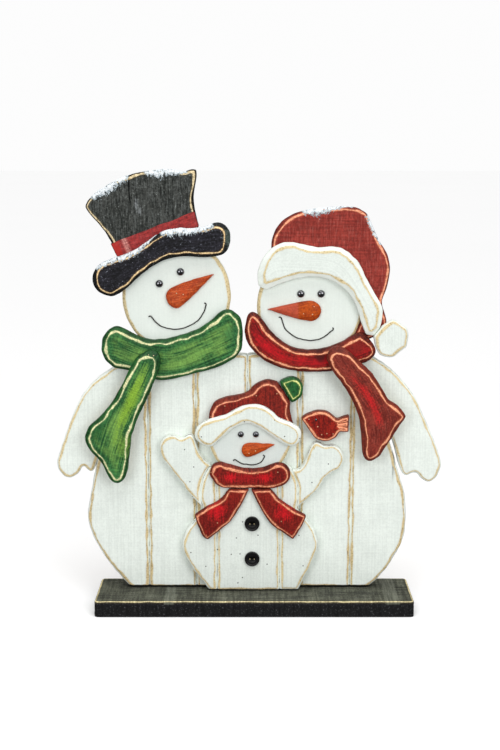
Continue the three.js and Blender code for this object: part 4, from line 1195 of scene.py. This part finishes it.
# Planed pine: yellower and cleaner than the planks' backs.
batten_pine = sawn_wood("planed_batten_pine", "#e0c795", "#c09e6c", None)
screw_places = []
for node in ("batten_lower", "batten_upper"):
    low, high = (np.array(corner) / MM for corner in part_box(node))
    box = np.array([(-high[0], low[2]), (-low[0], low[2]), (-low[0], high[2]), (-high[0], high[2])])
    line = np.vstack([evenly(np.vstack([a, b]), 2.0)[:-1] for a, b in zip(box, np.roll(box, -1, 0))])
    board = Board("bare_" + node, line, high[1], low[1], ease=1.2, drop=0.8, plane=FACING_BACK, grain=0,
                  pitch=4, step=2.0)
    dress(board, batten_pine, batten_pine)
    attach(board.piece, "root")
    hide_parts(node)
    middle = (low[2] + high[2]) / 2
    screw_places += [(x, high[1] + 0.05, middle + sway) for x, sway in (
        (-146, 4), (-99, -5), (-39, 5), (23, -4), (86, 5), (129, -5))]
# Zinc plate: grey metal with a slight yellow cast.
zinc = plain("zinc_plated_screw", "#a9a494", 0.3, metallic=0.95, grain=0.55, uneven=0.15)
screw_head = turned("screw_template", [(0, 0.9), (0.9, 0.9), (1.4, 0.25), (2.6, -0.05), (3.6, -0.1),
                                       (3.9, 0.1), (3.6, 0.6), (2.0, 3.0), (0, 3.4)], (0, 0, 0), 24)
screws = repeated("batten_screws", screw_places, screw_head, zinc, 11, 3.14, 0.02)
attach(screws, "root")

# ---------------------------------------------------------------------------------------------------
# Snow: white acrylic paste dabbed on the top edges with a stiff brush. It is thick on the edge itself and
# drags out in ragged fibres over the face, where the paint shows through between them.
# ---------------------------------------------------------------------------------------------------
# Dried acrylic paste: a cold matt white, grey where it thins out. Its grit is 0.8 mm.
paste = bpy.data.materials.new("dry_white_snow_paste")
paste.use_nodes = True
tree = paste.node_tree
tree.nodes.clear()
film = put(tree, "ShaderNodeAttribute", {"attribute_name": "film"}).outputs["Fac"]
grit = put(tree, "ShaderNodeTexNoise", None, {
    "Vector": put(tree, "ShaderNodeTexCoord").outputs["Object"], "Scale": every(0.8), "Detail": 4,
    "Roughness": 0.7})
cover = put(tree, "ShaderNodeMath", TIMES_PLUS, [grit, 0.7, film])
cover = put(tree, "ShaderNodeMapRange", SMOOTH, [cover, 0.82, 1.34])
tint = put(tree, "ShaderNodeMix", COLOURS, {"Factor": cover, "A": linear("#97a4aa"), "B": linear("#edf2f5")})
bump = put(tree, "ShaderNodeBump", None, {"Strength": 0.9, "Distance": 0.3 * MM, "Height": grit})
shader = put(tree, "ShaderNodeBsdfPrincipled", None, {
    "Base Color": tint, "Roughness": 0.75, "IOR": 1.48, "Specular IOR Level": 0.4, "Subsurface Weight": 0.1,
    "Subsurface Radius": (0.8 * MM, 0.9 * MM, 1.0 * MM), "Normal": bump})
put(tree, "ShaderNodeOutputMaterial", None, {"Surface": shader})


def blurred(grid, rows, columns):
    """Random values smeared over this many rows and columns, with their spread brought back to 1."""
    for _ in range(rows):
        grid = 0.5 * grid + 0.25 * (np.roll(grid, 1, 0) + np.roll(grid, -1, 0))
    for _ in range(columns):
        grid = 0.5 * grid + 0.25 * (np.roll(grid, 1, 1) + np.roll(grid, -1, 1))
    return grid / grid.std()


def snow(name, board, first, last, reach, seed, cover=0.52, fray=0.6, thick=0.6, back=7.0):
    """Paste on a board's edge from first to last, out over its face to reach, a line of (across, up)."""
    line = board.line
    begin, end = (int(np.hypot(*(line - p).T).argmin()) for p in (first, last))
    if end < begin:
        end += len(line)
    span = np.arange(begin, end + 1) % len(line)
    run = np.r_[0, np.cumsum(np.hypot(*np.diff(line[span], axis=0).T))]
    pitch, root = 0.45, 0.75  # mm between corners, and from the wood's surface to the paste's underside
    at = np.linspace(0, run[-1], int(run[-1] / pitch))
    edge = np.c_[np.interp(at, run, line[span, 0]), np.interp(at, run, line[span, 1])]
    inward = np.c_[np.interp(at, run, board.inward[span, 0]), np.interp(at, run, board.inward[span, 1])]
    for _ in range(12):
        inward[1:-1] = 0.5 * inward[1:-1] + 0.25 * (inward[:-2] + inward[2:])
    inward /= np.hypot(*inward.T)[:, None]
    limit = evenly(np.array(reach, float), 0.5)
    deep = 1.3 * np.array([np.hypot(*(limit - p).T).min() for p in edge])
    count = int((back + 1.5 * deep.max()) / pitch)
    share = np.linspace(0, 1, count)
    t = -back + share[None] * (back + 1.45 * deep[:, None])
    depth = np.clip(t, 0, None)
    flat = edge[:, None] + inward[:, None] * depth[..., None]
    level = board.level(flat.reshape(-1, 2), depth.ravel()).reshape(depth.shape)
    out = level + np.minimum(t, 0)
    path = np.stack([depth, out], -1)
    way = np.gradient(path, axis=1)
    way /= np.maximum(np.linalg.norm(way, axis=2), 1e-6)[..., None]
    normal = np.stack([-way[..., 1], way[..., 0]], -1)
    rng = np.random.default_rng(seed)
    fibre = blurred(rng.standard_normal(t.shape), 2, 30)
    lumps = blurred(rng.standard_normal(t.shape), 12, 12)
    speck = blurred(rng.standard_normal(t.shape), 1, 1)
    inner = 1 - np.clip((t / deep[:, None] - 0.25) / 0.9, 0, 1)
    behind = np.clip((t + back) / (0.5 * back), 0, 1)
    ends = np.clip(np.minimum(at, at[-1] - at) / 4, 0, 1)[:, None]
    film = inner * behind * np.sqrt(ends)
    gaps = np.clip(speck - 0.7, 0, None) * np.exp(-((t + 0.3) / 2.2) ** 2)
    combed = np.clip(fibre - 0.6, 0, None) * np.clip(t / 2, 0, 1)
    film = film * 0.95 + 0.2 * fray * fibre + 0.08 * lumps + 0.12 * speck - 0.9 * gaps - 0.35 * combed
    height = np.clip(2.2 * thick * (film - (1 - cover)), -0.6, thick) + 0.06 * speck * (film > 1 - cover)
    points = []
    for lift in (height, -root + 0 * height):
        d, w = depth + normal[..., 0] * lift, out + normal[..., 1] * lift
        spot = edge[:, None] + inward[:, None] * d[..., None]
        points.append(np.stack([spot[..., 0], -w, spot[..., 1]], -1))
    made = outward(solid_sheet(name, points[1], points[0]))
    film = np.r_[np.clip(film, 0, 1).ravel(), np.zeros(film.size)]
    made.data.attributes.new("film", "FLOAT", "POINT").data.foreach_set("value", film.astype(np.float32))
    made.data.materials.append(paste)
    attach(made, "root")
    return made


snow("snow_on_crown_left", crown, (-145, 520.5), (-193, 492.5), [
    (-194, 489), (-188, 489.8), (-174, 495), (-162.4, 502.5), (-154, 508.9), (-148.2, 511.8),
    (-144.7, 515.8)], 21)
snow("snow_on_crown_right", crown, (-77, 524), (-131, 524), [
    (-129.4, 521), (-127.2, 518.7), (-115.6, 515.8), (-98.1, 518.1), (-86.4, 519.8), (-77.1, 521.6)], 22)
snow("snow_on_brim_left", brim, (-114, 452), (-187, 409), [
    (-186, 408), (-180.2, 410.3), (-175.5, 413.2), (-168.4, 416.7), (-156.7, 419.6), (-145, 423.1),
    (-135.6, 426.6), (-127.4, 434.6), (-114, 452)], 23)
snow("snow_on_brim_right", brim, (-47, 464), (-112, 453), [
    (-109.7, 449.3), (-92.3, 448.2), (-74.8, 450.5), (-63.1, 452.8), (-49.2, 456.8)], 24)
snow("snow_on_stocking_cap", stocking_crown, (117, 484), (55, 476), [
    (55, 474), (60, 472.8), (82, 473.5), (91, 476.5), (102, 481), (116, 484)], 25, cover=0.55, fray=0.4)
snow("snow_down_stocking_cap", stocking_crown, (150, 438), (131, 475), [
    (128, 474), (132, 465), (139, 451), (147, 438)], 26, cover=0.5, fray=0.7)

# ---------------------------------------------------------------------------------------------------
# Studio: a plain pale floor, soft light from both sides and above, and the camera at eye height.
# ---------------------------------------------------------------------------------------------------
floor_mesh = bpy.data.meshes.new("floor")
floor_half = 30.0
floor_mesh.from_pydata([(x * floor_half, y * floor_half, 0) for x, y in ((-1, -1), (1, -1), (1, 1), (-1, 1))],
                       [], [(0, 1, 2, 3)])
floor = bpy.data.objects.new("floor", floor_mesh)
bpy.context.scene.collection.objects.link(floor)
paper = bpy.data.materials.new("white_backdrop_paper")
paper.use_nodes = True
tree = paper.node_tree
tree.nodes.clear()
# The paper shows white to the camera, but lights the object as a mid grey and shows in reflections as a
# dark grey, as black cards round the set would keep most of the floor's bounce off it.
seen = put(tree, "ShaderNodeLightPath").outputs["Is Camera Ray"]
fibre = put(tree, "ShaderNodeTexNoise", None, {"Scale": every(33), "Detail": 3})
tint = put(tree, "ShaderNodeMix", COLOURS, {"Factor": fibre, "A": linear("#fdfdfd"), "B": linear("#ffffff")})
glossy = put(tree, "ShaderNodeLightPath").outputs["Is Glossy Ray"]
around = put(tree, "ShaderNodeMix", COLOURS, {
    "Factor": glossy, "A": linear("#adadad"), "B": linear("#3c3c3c")})
tint = put(tree, "ShaderNodeMix", COLOURS, {"Factor": seen, "A": around, "B": tint})
shader = put(tree, "ShaderNodeBsdfPrincipled", None, {
    "Base Color": tint, "Roughness": 0.9, "Specular IOR Level": 0.1})
put(tree, "ShaderNodeOutputMaterial", None, {"Surface": shader})
floor_mesh.materials.append(paper)

world = bpy.data.worlds.new("white_surround")
world.use_nodes = True
tree = world.node_tree
tree.nodes.clear()
seen = put(tree, "ShaderNodeLightPath").outputs["Is Camera Ray"]
strength = put(tree, "ShaderNodeMapRange", None, {"Value": seen, "To Min": 0.16, "To Max": 0.98})
surround = put(tree, "ShaderNodeBackground", None, {"Color": (1, 1, 1, 1), "Strength": strength})
put(tree, "ShaderNodeOutputWorld", None, {"Surface": surround})
bpy.context.scene.world = world

lamps = {  # kind, place, size or angle, strength
    "overhead": ("SUN", (0, -0.15, 1), math.radians(70), 2.65),
    "key_right": ("AREA", (0.85, -1.5, 0.85), (1.0, 0.9), 13.6),
    "fill_left": ("AREA", (-0.8, -1.5, 0.6), (0.8, 0.8), 8.6),
}
for name, (kind, place, size, strength) in lamps.items():
    lamp = bpy.data.lights.new(name, kind)
    lamp.energy = strength
    if kind == "SUN":
        lamp.angle = size
    else:
        lamp.shape = "RECTANGLE"
        lamp.size, lamp.size_y = size
    holder = bpy.data.objects.new(name, lamp)
    holder.location = place
    aim = Vector((0, 0, 0 if kind == "SUN" else 0.28)) - Vector(place)
    holder.rotation_euler = aim.to_track_quat("-Z", "Y").to_euler()
    holder.visible_camera = False
    bpy.context.scene.collection.objects.link(holder)

camera = bpy.data.cameras.new("camera")
camera.lens = 63.84
camera.sensor_width = 36
camera.clip_start = 0.05
holder = bpy.data.objects.new("camera", camera)
holder.location = (-0.005, -1.557, 0.552)
holder.rotation_euler = (math.radians(90 - 9.73), 0, 0)
bpy.context.scene.collection.objects.link(holder)
bpy.context.scene.camera = holder
bpy.context.scene.view_settings.view_transform = "Standard"
